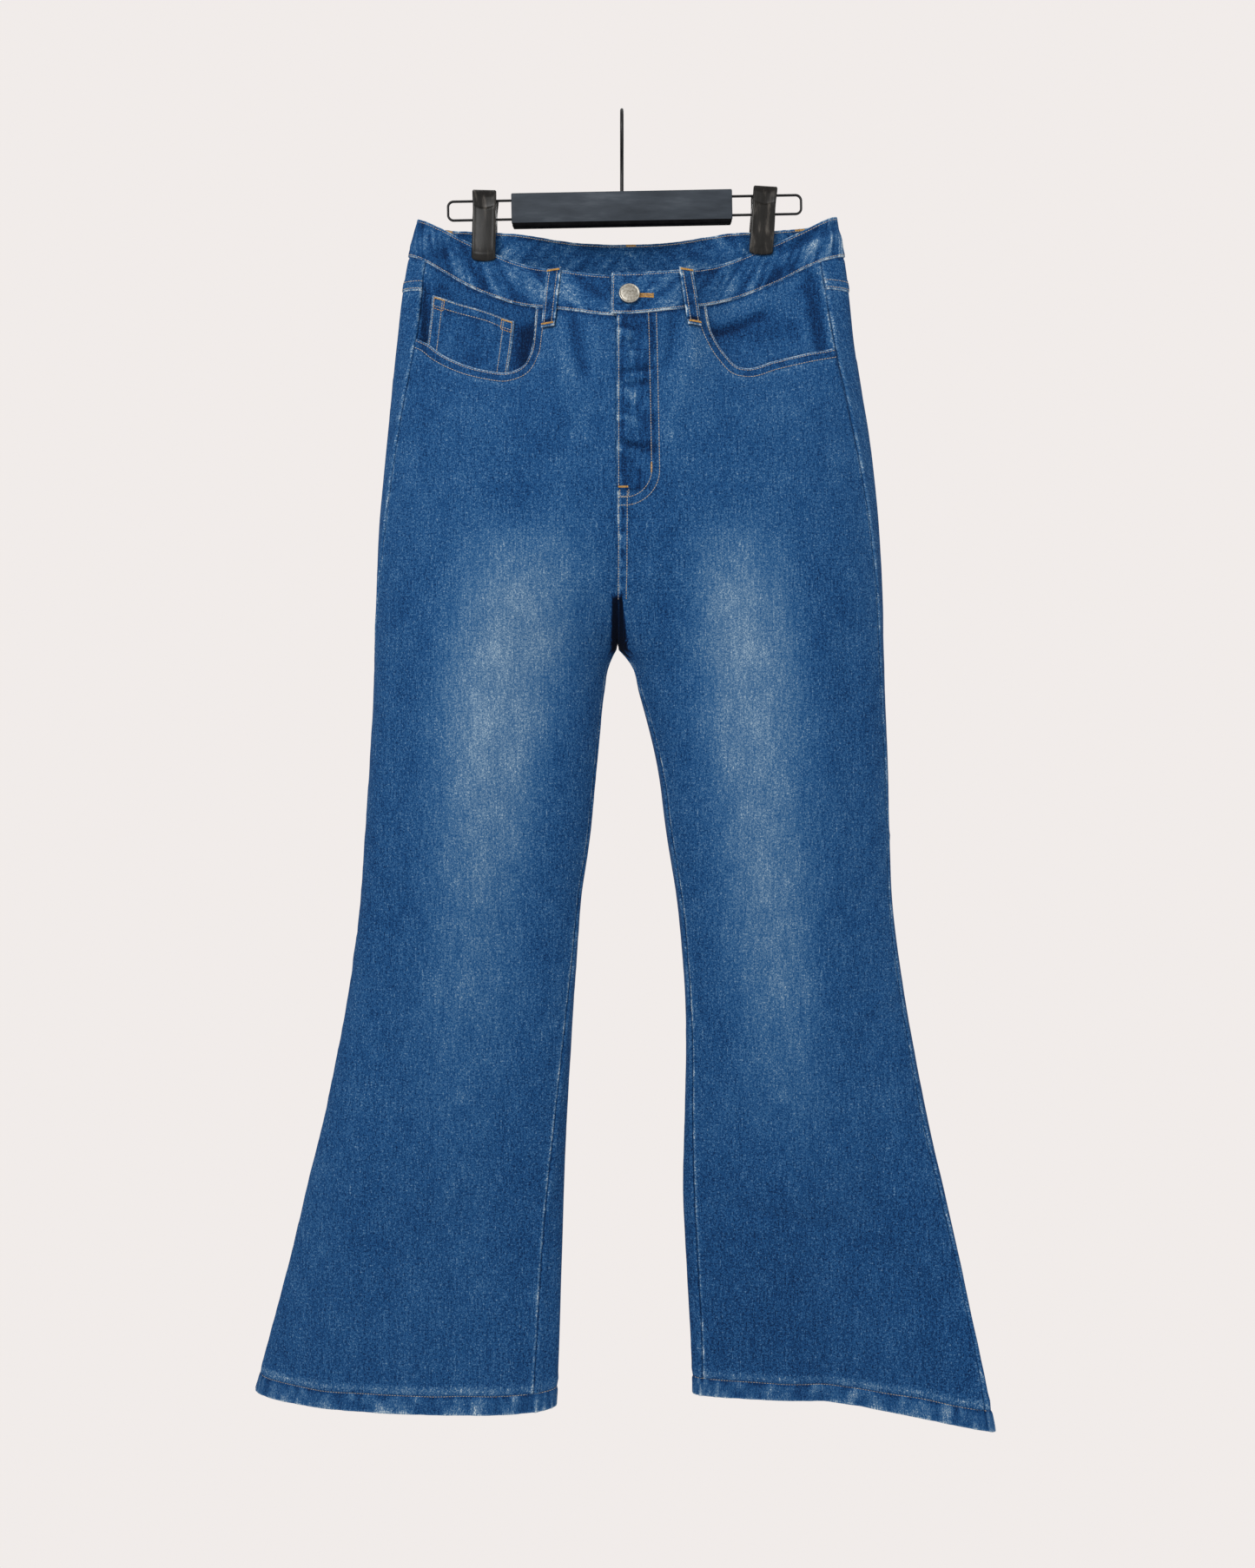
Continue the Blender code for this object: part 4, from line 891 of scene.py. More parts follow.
# Back panel: rows from the yoke's seam down to the middle, and level ones below it
def makeBack(side):
    seamZ, topZ = backEdges(side)
    start = seamZ + 0.003
    down = joined((0, 0.0035, 0.0075, 0.012, 0.018), np.linspace(0.026, 1, panel["backRowsUpper"]))[:, None]
    z = joined(start + (body["panelMidZ"] - start) * down, lowRows(panel["backRowsLower"]) + 0 * start)
    theta = betweenSeams(side, backShares, z, True)
    height, tones = backSkin(side, theta, z)
    if side == "right":
        # the right half runs on under the left one, from the column nearest the seam
        nearest = np.argmin(innerTheta(side, z[0], True) - theta[0])
        reach = softStep((z - body["crotchZ"] + 0.002) / 0.004) * bell(backShares - backShares[nearest], 0.02)
        theta = theta + 0.004 * reach / arcSpeed(side, theta, z)
        height = height - 0.0007 * reach
    under = seamZ - z
    height = height - 0.0008 * (1 - softStep(under / 0.0012))
    tones["wear"] = tones["wear"] + 0.16 * bell(under - 0.003, 0.002)
    # painted shade just under the yoke's edge
    tones["dark"] = tones["dark"] + 0.35 * bell(under - 0.0008, 0.0012)
    sew(sided("backPanel", side), "back_" + side, "waistband", side, theta, z, height, tones, back=True)
    makeYoke(side, seamZ - 0.0004, topZ + panel["tuck"])


# The yoke laps over the panel, with two stitch rows above its lower edge
def makeYoke(side, foot, top):
    share = joined(np.linspace(0, 0.86, 18), (0.92, 0.955, 0.978, 0.992, 1))[:, None]
    z = top + (foot - top) * share
    theta = betweenSeams(side, backShares, z, True)
    height, tones = backSkin(side, theta, z)
    fromFoot, fromBand = z - foot, top - z
    ripple = puckers(theta * waist["radius"], fromFoot - 0.004, 0.006, 0.006, 41)
    height += 0.0008 * (1 - softStep((fromFoot - 0.009) / 0.002)) + 0.00025 * ripple
    height -= 0.0003 * (bell(fromFoot - 0.0018, 0.0006) + bell(fromFoot - 0.0082, 0.0006))
    height -= 0.001 * bell(fromFoot, 0.0007) + 0.0007 * bell(fromBand - 0.003, 0.0015)
    tones["wear"] = tones["wear"] + bell(fromFoot - 0.0003, 0.0009) * 0.8 + 0.25 * np.abs(ripple)
    # painted shade just under the waistband's edge
    tones["dark"] = tones["dark"] + 0.35 * bell(fromBand - 0.0034, 0.002)
    sew(sided("yoke", side), "yoke_" + side, "waistband", side, theta, z, height, tones,
        back=True, crosswise=True)


for half in ("right", "left"):
    makeFront(half)
    makeBack(half)
print("front and back panels and yokes made")


# Tubes: folded bands and loops, closed round their section

# Capped at both ends, or with its last section lying on its first, where the two are merged
def tubeMesh(name, points, uv, tones, ring=False):
    area = np.cross(points[:-1] - points[:-1, :1], np.roll(points[:-1], -1, axis=1) - points[:-1, :1])
    turned = float((area.sum(1) * np.diff(points[:, 0], axis=0)).sum()) > 0
    count, last = points.shape[1], points.shape[0] * points.shape[1]

    def cap(shell):
        shell.verts.ensure_lookup_table()
        for ends in (range(count), range(last - count, last)):
            shell.faces.new([shell.verts[i] for i in ends]).smooth = True

    def merge(shell):
        bmesh.ops.remove_doubles(shell, verts=shell.verts, dist=1e-7)

    return reshaped(gridMesh(name, points, uv, tones, True, turned), merge if ring else cap)


# 0 at an end and 1 past its radius, as a quarter circle
def roundedEnd(distance, radius, least):
    return np.sqrt(np.clip(1 - (1 - np.clip(distance / radius, 0, 1)) ** 2, least, 1))


# Section of a folded band: shares across its height and offsets of its rounded outline, from the
# top fold down the outer face and up the inner one
def foldedSection(height, half, rows):
    turn = np.linspace(0, math.pi / 2, 6)[:-1]
    rim = half / height * (1 - np.cos(turn))
    flat = half / height + (1 - 2 * half / height) * np.linspace(0, 1, rows)
    down = joined(rim, flat, 1 - rim[::-1])
    out = joined(np.sin(turn), np.ones(rows), np.sin(turn)[::-1]) * half
    return joined(down, down[-2:0:-1]), joined(out, -out[-2:0:-1])


# Waistband

# 1 in front of a clip, falling to 0 beside it
def clipShare(x):
    return np.maximum(*[bell(over(np.abs(x - clip["x"]) - 0.012), 0.007) for clip in clips])


# Heights of the band's upper and lower edge at an angle, solved by steps
def bandEdgesAt(theta, share):
    z = np.full(np.broadcast(theta, share).shape, waist["middleZ"])
    front = np.sin(theta) > 0
    for _ in range(7):
        x = ringPoint("left", theta, z)[..., 0]
        top = np.where(front, bandEdge("front_top", x), bandEdge("back_top", x))
        low = np.where(front, bandEdge("front_seam", x), bandEdge("back_seam", x))
        z = top + (low - top) * share
    return x, z, top - low


# Relief and tones of the waistband at an angle and a share of the way down: slack, diagonal folds
# near the clips and sides, and puckers under both stitch rows, with painted highlight on their crests and
# painted shade in their troughs
def bandSkin(theta, share):
    x, z, tall = bandEdgesAt(theta, share)
    fromTop, fromLow = share * tall, (1 - share) * tall
    topRow, lowRow = fromTop - waist["topRow"], fromLow - waist["lowRow"]
    height = slackAt(theta, x, z) * (1 - 0.9 * clipShare(x))
    troughs, crests = troughShade(height, 0.0012), troughShade(-height, 0.0012)
    height -= waist["sink"] * lapSink(x) * (theta > fullTurn)
    along = theta * waist["radius"]
    onLeft = x > 0
    lean = np.where(onLeft, 1, -1) * share
    diagonal = cloud((along + lean * 0.03) / 0.005 + 4, share * 2.2 + 3, 51)
    broad = cloud((along + lean * 0.04) / 0.013 + 4, share * 1.4 + 3, 56)
    fine = cloud((along + lean * 0.018) / 0.0022 + 4, share * 7 + 5, 52)
    topPucker = puckers(along, topRow, 0.0036, 0.0045, 53)
    lowPucker = puckers(along, lowRow, 0.0036, 0.0045, 54)
    height += 0.00028 * (topPucker + lowPucker) + 0.0003 * diagonal + 0.0005 * broad
    height -= 0.0003 * (bell(topRow, 0.0006) + bell(lowRow, 0.0006))
    nearClip = np.maximum(*[bell(x - clip["x"], 0.035) for clip in clips])
    nearSide = bell(np.abs(x) - 0.19, 0.025)
    # rub along both folded edges, painted highlight on the crests of the slack, the puckers, the broad waves
    # and the diagonal folds, and random pale streaks
    wear = bell(fromTop, 0.0011) * 0.85 + bell(fromLow, 0.0011) * 0.95 + 0.26 * crests
    wear += 0.3 * over(topPucker) + 0.34 * over(lowPucker) + 0.22 * fine + 0.4 * over(broad)
    wear += over(diagonal + 0.1) * (0.2 + 0.16 * nearClip + np.where(onLeft, 0.26, 0.04) * nearSide)
    # painted shade in the troughs of the folds, the slack and the broad waves, stronger near the clips, and
    # in the rows' grooves; darker near the right side, near the right clip and in bands inside both rows
    dark = 1.1 * over(-diagonal) * (0.55 + 0.45 * nearClip) - 0.02 + 0.55 * troughs
    dark += nearSide * np.where(onLeft, -0.1, 0.32) + 0.14 * nearClip * (x < 0) + 0.65 * over(-broad)
    dark += 0.34 * bell(fromLow - 0.0036, 0.0014) + 0.26 * bell(fromTop - 0.0048, 0.0014)
    dark += 0.4 * (bell(topRow, 0.0007) + bell(lowRow, 0.0006))
    fade = 0.06 + 0.1 * cloud(along / 0.03 + 7, share + 4, 55)
    return z, height, toneSet(np.clip(wear, 0, 1.2), np.clip(dark, 0, 1), fade)


waistStart = float(thetaAt("left", waist["upperEndX"], waist["middleZ"]))
waistEnd = fullTurn + float(thetaAt("left", waist["underEndX"], waist["middleZ"]))


# Waistband: a folded section carried round from one lapped end to the other
def makeWaistband():
    share, out = foldedSection(waist["height"], waist["half"], 20)
    stretches = ((waistStart, math.pi, 0.25), (math.pi, fullTurn, 0.47), (fullTurn, waistEnd, 0.28))
    runs = [low + (high - low) * spread(int(waist["columns"] * part) + 1, 0.7)[:-1]
            for low, high, part in stretches]
    theta = joined(*runs, [waistEnd])[:, None]
    fromEnd = np.minimum(np.abs(theta - waistStart), np.abs(waistEnd - theta)) * waist["radius"]
    z, height, tones = bandSkin(theta, share)
    tones["wear"] = tones["wear"] + 0.8 * bell(fromEnd, 0.0012)
    points = clothPoint("left", theta, z, height + out * roundedEnd(fromEnd, waist["half"], 0.02))
    across = np.append(share * waist["height"], 0) + 0.3
    uv = np.stack(np.broadcast_arrays(across, theta * waist["radius"]), -1)
    piece = place("waistbandCloth", tubeMesh("waistbandCloth", points, uv, tones), (denim,),
                  ("waistband",))


makeWaistband()


# Hems: the leg's end turned up and stitched, its outer face running on from the panel's

hem = {"rise": 0.0165, "rows": 14, "columns": 300, "half": 0.0012, "inward": 0.00025, "radius": 0.155}


# Signed distances to the side seam and the inseam, growing towards the back panel
def seamDistances(side, theta, z):
    speed = arcSpeed(side, theta, z)
    seam = sideTheta(side, z)
    turned = np.where(theta < seam - math.pi, theta + fullTurn, theta)
    inner = innerTheta(side, z, True) - np.where(theta < 1, theta + fullTurn, theta)
    return (turned - seam) * speed, inner * speed


# Relief and tones of a hem: ropes that lean because the fold twists, and the legs' seams.
# Pale rope crests and dark troughs are partly the rope's own fade and partly painted highlight and shade.
def hemSkin(side, theta, down):
    z = body["hemTopZ"] - 0.00015 + (body["hemZ"] - body["hemTopZ"]) * down + 0 * theta
    x = ringPoint(side, theta, z)[..., 0]
    along = theta * hem["radius"]
    seed = 61 if side == "right" else 63
    rope = cloud((along + down * 0.008) / 0.0085 + 3, down * 1.1 + 2, seed)
    fine = cloud((along + down * 0.006) / 0.0032 + 3, down * 2.6 + 6, seed + 1)
    fromTop, fromEdge = down * hem["rise"], (1 - down) * hem["rise"]
    height = slackAt(theta, x, z) + (0.00045 * rope + 0.00016 * fine) * softStep(fromTop / 0.003)
    height -= 0.0009 * (1 - softStep(fromTop / 0.003))
    # rub along the folded edge, and pale rope crests that are partly painted highlight
    wear = 0.6 * bell(fromEdge, 0.0016) + 0.62 * over(rope) + 0.26 * over(fine)
    # painted shade in the ropes' troughs and where the hem's top sinks under the panel
    dark = 0.55 * over(-rope) + 0.45 * bell(fromTop - 0.0012, 0.0014)
    for d in seamDistances(side, theta, z):
        # each seam: a pale ridge, partly painted highlight, and painted shade in its groove
        height += 0.0007 * bell(d - 0.0022, 0.003) - 0.0007 * bell(d, 0.0007)
        wear += 0.35 * bell(d - 0.0016, 0.0012)
        dark += 0.9 * bell(d, 0.0008)
    return z, height, toneSet(np.clip(wear, 0, 1.2), dark, np.full_like(wear, 0.06))


# Hem: a folded section carried once round the leg
def makeHem(side):
    quarter = spread(hem["columns"] // 2 + 1, 0.8)[:-1]
    theta = math.pi * joined(quarter, 1 + quarter)[:, None]
    share, out = foldedSection(hem["rise"], hem["half"], hem["rows"])
    z, height, tones = hemSkin(side, theta, share)
    points = clothPoint(side, theta, z, height + out - hem["inward"])
    points = joined(points, points[:1])
    tones = {key: joined(value, value[:1]) for key, value in tones.items()}
    across = np.append(share, 0) * hem["rise"] + 0.9
    along = joined(theta, theta[:1] + fullTurn) * hem["radius"]
    uv = np.stack(np.broadcast_arrays(along, across), -1)
    name = sided("hem", side)
    piece = place(name, tubeMesh(name, points, uv, tones, ring=True), (denim,), ("hem_" + side,))
    middle = clothPoint(side, theta, np.array([[body["hemTopZ"], body["hemZ"]]]) + 0 * theta)
    cut = joined(middle, middle[:1]).transpose(1, 0, 2)


for half in ("right", "left"):
    makeHem(half)
print("waistband and hems made")


# Pockets

facing = {"under": 0.017, "below": 0.0112, "level": 0.02, "rise": 0.029, "columns": 76, "rows": 56,
          "startZ": -0.18, "tuckReach": (0.0009, 0.004), "tuckDrop": (0.0006, 0.0011), "grainX": 0.14,
          "shade": ((0.074, -0.213), (0.104, -0.2), (0.15, -0.196))}


# Height of a pocket mouth's line
def mouthZ(side, x):
    sign, scoop = sideSign[side], scoops[side]
    return np.interp(sign * x, sign * scoop[:, 0], scoop[:, 1])


# Layers below the front panel at the mouth, level with it inside the scoop
def facingOffset(side, x, z):
    sign, scoop = sideSign[side], scoops[side]
    inside = (z > mouthZ(side, x)) & (sign * x > sign * scoop[0, 0])
    away = np.where(inside, lineDistance(x, z, scoop), 0)
    layers = 2 if side == "right" else 1
    offset = -denimCut["pinchedStep"] * layers * (1 - softStep((away - facing["level"]) / facing["rise"]))
    beside = bell(np.abs(x) - levelAt("outer_" + side, z) + levelAt("side_" + side, z), 0.0085)
    beside = np.maximum(beside, bell(bandEdge("front_seam", x) - z - 0.001, 0.009))
    return offset + (np.maximum(offset, -0.001) - offset) * beside


# Relief and tones of the cloth inside a pocket's mouth: darker all over in the right pocket, with a
# painted shade along a line in the left one
def facingSkin(side, theta, x, z):
    dBand = bandEdge("front_seam", x) - z
    dSide = (sideTheta(side, z) - theta) * arcSpeed(side, theta, z)
    slack = slackAt(theta, x, z)
    ridge, pale, _ = pressedSeam(z, dSide, "facingSide", 71)
    height = slack + facingOffset(side, x, z) + ridge - rolled(dSide) - 0.0004 * bell(dBand - 0.0005, 0.0016)
    wear = pale + 0.22 * bell(dSide - 0.005, 0.005) + 0.16 * bell(dBand - 0.008, 0.006)
    # painted shade under the waistband, under the mouth's edge and in the slack's troughs
    dark = 0.4 * bell(dBand - 0.001, 0.0018) + 0.3 * bell(lineDistance(x, z, scoopLine(side)), 0.003)
    dark += 0.85 * troughShade(slack, 0.0026)
    dark += 0.44 if side == "right" else 0.42 * bell(lineDistance(x, z, facing["shade"]), 0.01)
    return height, toneSet(wear, dark, 0.03 + 0.05 * cloud(x / 0.02 + 3, z / 0.03 + 9, 72))


# Two more columns, copies of the last one
def widened(grid):
    return np.pad(grid, ((0, 0), (0, 2)), "edge")


# Pocket facing: rows from the waistband down past the pocket's mouth
def makeFacing(side):
    sign, scoop = sideSign[side], scoops[side]
    share, down = spread(facing["columns"], 0.4), np.linspace(0, 1, facing["rows"])[:, None]
    inner = abs(scoop[0, 0]) - facing["under"]
    z = np.full((facing["rows"], facing["columns"]), facing["startZ"])
    for _ in range(6):
        start = thetaAt(side, sign * inner, z)
        theta = start + (sideTheta(side, z) - start) * share
        x = ringPoint(side, theta, z)[..., 0]
        top = bandEdge("front_seam", x) + panel["tuck"]
        low = np.where(sign * x < abs(scoop[4, 0]), scoop[:, 1].min(), mouthZ(side, x))
        z = top + (low - facing["below"] - top) * down
    height, tones = facingSkin(side, theta, x, z)
    # two columns tuck under the back panel
    theta, z, height = widened(theta), widened(z), widened(height)
    theta[:, -2:] += np.array(facing["tuckReach"]) / arcSpeed(side, theta[:, -2:], z[:, -2:])
    height[:, -2:] -= facing["tuckDrop"]
    tones = {key: widened(value) for key, value in tones.items()}
    sew(sided("pocketFacing", side), "pocket_facing_" + side, "waistband", side,
        theta, z, height, tones, facing["grainX"])


coin = {"corners": np.array(((-0.1695, -0.166), (-0.097, -0.1885), (-0.103, -0.256), (-0.1755, -0.23))),
        "columns": 62, "rows": 54, "hem": 0.0078, "wide": 0.0728, "tall": 0.058}


# Points a share across and down between the coin pocket's corners, which go round its outline
def coinSpot(across, down):
    first, second, third, last = coin["corners"]
    across, down = np.asarray(across)[..., None], np.asarray(down)[..., None]
    top = first + (second - first) * across
    low = last + (third - last) * across
    return top + (low - top) * down


# Relief and tones of the coin pocket: it lies on the facing under a folded top hem
def coinSkin(x, z):
    theta = thetaAt("right", x, z)
    corners = coin["corners"]
    dTop = lineDistance(x, z, corners[:2])
    dSide = np.minimum(lineDistance(x, z, corners[[0, 3]]), lineDistance(x, z, corners[[1, 2]]))
    dEdge = np.minimum(dTop, dSide)
    ripple = puckers(x, dTop - 0.004, 0.005, 0.006, 73) + puckers(z, dSide - 0.004, 0.0055, 0.005, 74)
    patches = cloud(x / 0.011 + 2, z / 0.015 + 7, 76)
    height = slackAt(theta, x, z) + facingOffset("right", x, z) + denimCut["pinchedStep"] * 0.55
    height += 0.0007 * (1 - softStep((dTop - coin["hem"]) / 0.0016)) + 0.00025 * ripple
    height += 0.0007 * softStep((dEdge - 0.01) / 0.012) * (1 + cloud(x / 0.02, z / 0.016 + 4, 75))
    height -= 1.2 * rolled(dEdge)
    wear = bell(dEdge - 0.0006, 0.001) * 0.85 + 0.22 * np.abs(ripple)
    wear += 0.12 * bell(dSide - 0.0085, 0.0016) + 0.16 * over(patches)
    # darker all over, with painted shade below the top hem's fold and random dark patches
    dark = 0.24 + 0.3 * bell(dTop - 0.0095, 0.0016) + 0.4 * over(-patches)
    return theta, height, toneSet(wear, dark, 0.05)


# Coin pocket: a grid between its corners, closer towards its edges
def makeCoinPocket():
    grid = np.meshgrid(spread(coin["columns"], 0.35), spread(coin["rows"], 0.35))
    x, z = np.moveaxis(coinSpot(*grid), -1, 0)
    theta, height, tones = coinSkin(x, z)
    sew("coinPocket", "coin_pocket", "pocketFacingRight", "right", theta, z, height, tones)


backPocket = {"topZ": (-0.245, -0.222), "footZ": (-0.372, -0.366), "point": 0.0235, "columns": 58,
              "rows": 56, "hem": 0.015, "wide": 0.15, "tall": 0.14, "footTall": 0.133,
              "grainX": 0.1}
pocketShares = spread(15, 0.6)[[2, 7]]


# Angles, heights, relief and tones of a back pocket from shares across and down it; its foot falls
# to a point in the middle
def backPocketSkin(side, across, down):
    wide, tall, hemAt = backPocket["wide"], backPocket["tall"], backPocket["hem"]
    top = np.interp(across, (0, 1), backPocket["topZ"])
    foot = np.interp(across, (0, 1), backPocket["footZ"])
    foot = foot - backPocket["point"] * (1 - np.abs(2 * across - 1))
    z = top + (foot - top) * down
    theta = betweenSeams(side, pocketShares[0] + (pocketShares[1] - pocketShares[0]) * across, z, True)
    dTop = down * tall
    dEdge = np.minimum((1 - down) * backPocket["footTall"], np.minimum(across, 1 - across) * wide)
    dRim = np.minimum(dEdge, dTop)
    ripple = puckers(across * wide, dTop - hemAt, 0.006, 0.006, 76)
    ripple = ripple + puckers(z, dEdge - 0.004, 0.0055, 0.005, 77)
    height = backSkin(side, theta, z)[0] + denimCut["step"] * 0.62 + 0.00025 * ripple
    height = height + 0.0006 * (1 - softStep((dTop - hemAt) / 0.002) + softStep((dRim - 0.012) / 0.03))
    height = height - 1.2 * rolled(dRim)
    wear = bell(dEdge - 0.0006, 0.001) * 0.8 + bell(dTop - 0.0004, 0.0012) * 0.95 + 0.22 * np.abs(ripple)
    fade = 0.16 * softStep(dEdge / 0.05) + 0.05
    return theta, z, height, toneSet(wear, 0.16 * bell(dEdge - 0.01, 0.002), fade)


# Back pocket: a grid of shares, closer towards its edges
def makeBackPocket(side):
    grid = np.meshgrid(spread(backPocket["columns"], 0.35), spread(backPocket["rows"], 0.35))
    sew(sided("backPocket", side), "back_pocket_" + side, sided("backPanel", side), side,
        *backPocketSkin(side, *grid), backPocket["grainX"], True)


makeCoinPocket()
for half in ("right", "left"):
    makeFacing(half)
    makeBackPocket(half)


# Belt loops: strips with domed faces, thicker at their folded ends

loops = [dict(zip(("name", "topX", "topZ", "footX", "footZ", "back"), row)) for row in (
    ("front_right", -0.0585, -0.1475, -0.0638, -0.2025, False),
    ("front_left", 0.0555, -0.1475, 0.0625, -0.2015, False),
    ("back_right", -0.163, -0.102, -0.166, -0.153, True),
    ("back_left", 0.165, -0.101, 0.169, -0.152, True),
    ("centre", 0.008, -0.1065, 0.008, -0.157, True),
)]
loopLook = {"width": 0.012, "rows": 66, "half": 0.001, "lift": 0.0027, "bow": 0.0006}


# Outer face of a loop: across from -1 to 1, down from 0 to 1
def loopFace(loop, across, down):
    across, down = np.broadcast_arrays(across, down)
    side = "right" if loop["topX"] < 0 else "left"
    tall = loop["topZ"] - loop["footZ"]
    x = loop["topX"] + (loop["footX"] - loop["topX"]) * down + across * loopLook["width"] / 2
    z = loop["topZ"] - tall * down
    theta = thetaAt(side, x, z, loop["back"])
    fromEnd = np.minimum(down, 1 - down) * tall
    height = loopLook["lift"] + loopLook["bow"] * np.sin(math.pi * down)
    height += 0.0006 * bell(fromEnd - 0.0022, 0.0016) - 0.0004 * bell(fromEnd - 0.005, 0.0014)
    height += 0.00018 * cloud(down * tall / 0.0035 + 3, across * 1.5 + 4, 81)
    height += slackAt(theta, x, z) * (1 - 0.9 * clipShare(x))
    return side, theta, z, height, fromEnd


# Loop: sections |cos a|^0.45 wide and |sin a|^0.62 thick
def makeLoop(loop):
    turn = np.linspace(0, fullTurn, 27)[:-1]
    across = np.sign(np.cos(turn)) * np.abs(np.cos(turn)) ** 0.45
    out = np.sign(np.sin(turn)) * np.abs(np.sin(turn)) ** 0.62 * loopLook["half"]
    down = spread(loopLook["rows"], 0.75)[:, None]
    side, theta, z, height, fromEnd = loopFace(loop, across, down)
    points = clothPoint(side, theta, z, height + out * roundedEnd(fromEnd, 0.0013, 0.01))
    edge = (1 - np.abs(across)) * loopLook["width"] / 2
    mottle = cloud(down * 14 + 3 + loop["topX"] * 90, across * 1.4 + 5, 82)
    wear = bell(edge, 0.0013) * (0.8 + 0.4 * mottle) + 0.95 * bell(fromEnd, 0.001) + 0.36 * over(mottle)
    # painted shade in the dip above the folded foot, darker lines inside the stitch rows, random mottling and
    # a darker base
    dark = bell(fromEnd - 0.0056, 0.0016) * (down > 0.5) + 0.35 * bell(edge - 0.0034, 0.001)
    dark = dark + 0.5 * over(-mottle) + 0.12
    wide = np.append(across, across[:1]) * loopLook["width"] / 2 + loop["topX"]
    uv = np.stack(np.broadcast_arrays(wide, down * 0.05), -1)
    name = "loop" + loop["name"].title().replace("_", "")
    mesh = tubeMesh(name, points, uv, toneSet(wear, dark, 0.05))
    piece = place(name, mesh, (denim,), ("belt_loop_" + loop["name"],))
    face = clothPoint(*loopFace(loop, np.linspace(-1, 1, 5), down)[:4])


for loop in loops:
    makeLoop(loop)
print("pockets and belt loops made")


# Stitching: short rounded lengths of thread, gathered by area and built as one mesh each

# Each ring of a thread has its share of the length, and its size and height in radii
threadLook = {"pitch": 0.0024, "length": 0.0021, "radius": 0.00032, "sides": 5,
              "rings": ((0, 0.45, -0.75), (0.16, 1, 0.3), (0.84, 1, 0.3), (1, 0.45, -0.75)),
              "tackRadius": 0.00019, "tackPitch": 0.00042}
threadJobs = {}


# Notes lengths of thread that run from starts to ends, with the cloth's outward direction
def addThreads(group, gold, starts, ends, normals, radius):
    job = threadJobs.setdefault(group + "Gold" * gold, [])
    job.append((starts, ends, normals, np.full(len(starts), radius)))


# Stitches end to end along a line of points, broken where the line leaves the kept stretch
def stitchLine(group, points, normals, gold=False, keep=None):
    length = runLength(points)
    count = max(int(length[-1] / threadLook["pitch"]), 1)
    jitter = np.random.RandomState(len(points) + count)
    middle = (np.arange(count) + 0.5) * length[-1] / count
    half = threadLook["length"] / 2 * jitter.uniform(0.9, 1.06, count)
    starts, ends = [alongLine(points, length, at) for at in (middle - half, middle + half)]
    way = unit(alongLine(normals, length, middle))
    wander = np.cross(unit(ends - starts), way) * jitter.normal(0, 0.00006, (count, 1))
    kept = np.ones(count, bool) if keep is None else np.interp(middle, length, keep) > 0.5
    addThreads(group, gold, (starts + wander)[kept], (ends - wander)[kept], way[kept], threadLook["radius"])


# Bartack: gold thread turned side by side along a line, each turn crossing it at right angles
def bartack(group, points, normals, width):
    length = runLength(points)
    count = max(int(length[-1] / threadLook["tackPitch"]), 3)
    at = np.linspace(0, length[-1], count)
    middle, way = alongLine(points, length, at), unit(alongLine(normals, length, at))
    along = unit(np.gradient(middle, axis=0))
    jitter = np.random.RandomState(count)
    reach = unit(np.cross(along, way)) * (width / 2 * jitter.uniform(0.9, 1.08, (count, 1)))
    reach = reach + along * threadLook["tackPitch"] * 0.5
    middle = middle + way * 0.00012
    addThreads(group, True, middle - reach, middle + reach, way, threadLook["tackRadius"])


# Round sections at centres: centre + (across cos a + up sin a) size
def sections(centre, across, up, size, sides):
    turn = np.arange(sides)[:, None] * fullTurn / sides
    spoke = across[..., None, :] * np.cos(turn) + up[..., None, :] * np.sin(turn)
    return centre[..., None, :] + spoke * size[..., None, None]


# All threads of a name as one mesh, each with four rings and two caps
def makeThreads(name, parts):
    starts, ends, way, radius = [joined(*part) for part in zip(*parts)]
    at, size, arch = np.array(threadLook["rings"]).T
    rows, sides, count = len(at), threadLook["sides"], len(starts)
    along = unit(ends - starts)
    across = unit(np.cross(along, way))
    up = np.cross(across, along)
    centre = starts[:, None] + (ends - starts)[:, None] * at[:, None]
    centre = centre + up[:, None] * (arch[:, None] * radius[:, None, None])
    rings = sections(centre, across[:, None], up[:, None], radius[:, None] * size, sides)
    base = np.arange(count)[:, None, None] * rows * sides
    ring, side = np.arange(rows - 1)[:, None] * sides, np.arange(sides)
    near, far = ring + side, ring + (side + 1) % sides
    quads = np.stack((near, far, far + sides, near + sides), -1).reshape(1, -1, 4) + base
    caps = np.stack((side[::-1], (rows - 1) * sides + side))[None] + base
    mesh = newMesh(name, rings, quads.reshape(-1, 4).tolist() + caps.reshape(-1, sides).tolist())
    mesh.update()
    place(name, mesh, (goldThread if name.endswith("Gold") else tanThread,))
    print(name, count, "threads")


# Points on the outer faces that the stitching follows, with their outward directions
def onCloth(side, theta, z, out):
    return clothPoint(side, theta, z, out), ringNormal(side, theta, z)


# On a skin: its relief, a lift and half a layer above the ring
def onSkin(skin, side, theta, z, lift=0):
    return onCloth(side, theta, z, skin(side, theta, z)[0] + lift + denimCut["layer"] / 2)


# On a front panel at x and z
def onFront(side, x, z):
    return onSkin(frontSkin, side, thetaAt(side, x, z), z)


# A line moved sideways by a distance; reach > 0 moves it to the left of its run
def movedLine(line, reach):
    run = unit(np.gradient(line, axis=0))
    return line + np.stack((-run[:, 1], run[:, 0]), -1) * reach


# Points about a spacing apart along a line of corners
def denseLine(corners, spacing=0.001):
    corners = np.asarray(corners, float)
    length = runLength(corners)
    return alongLine(corners, length, np.linspace(0, length[-1], max(int(length[-1] / spacing), 4)))


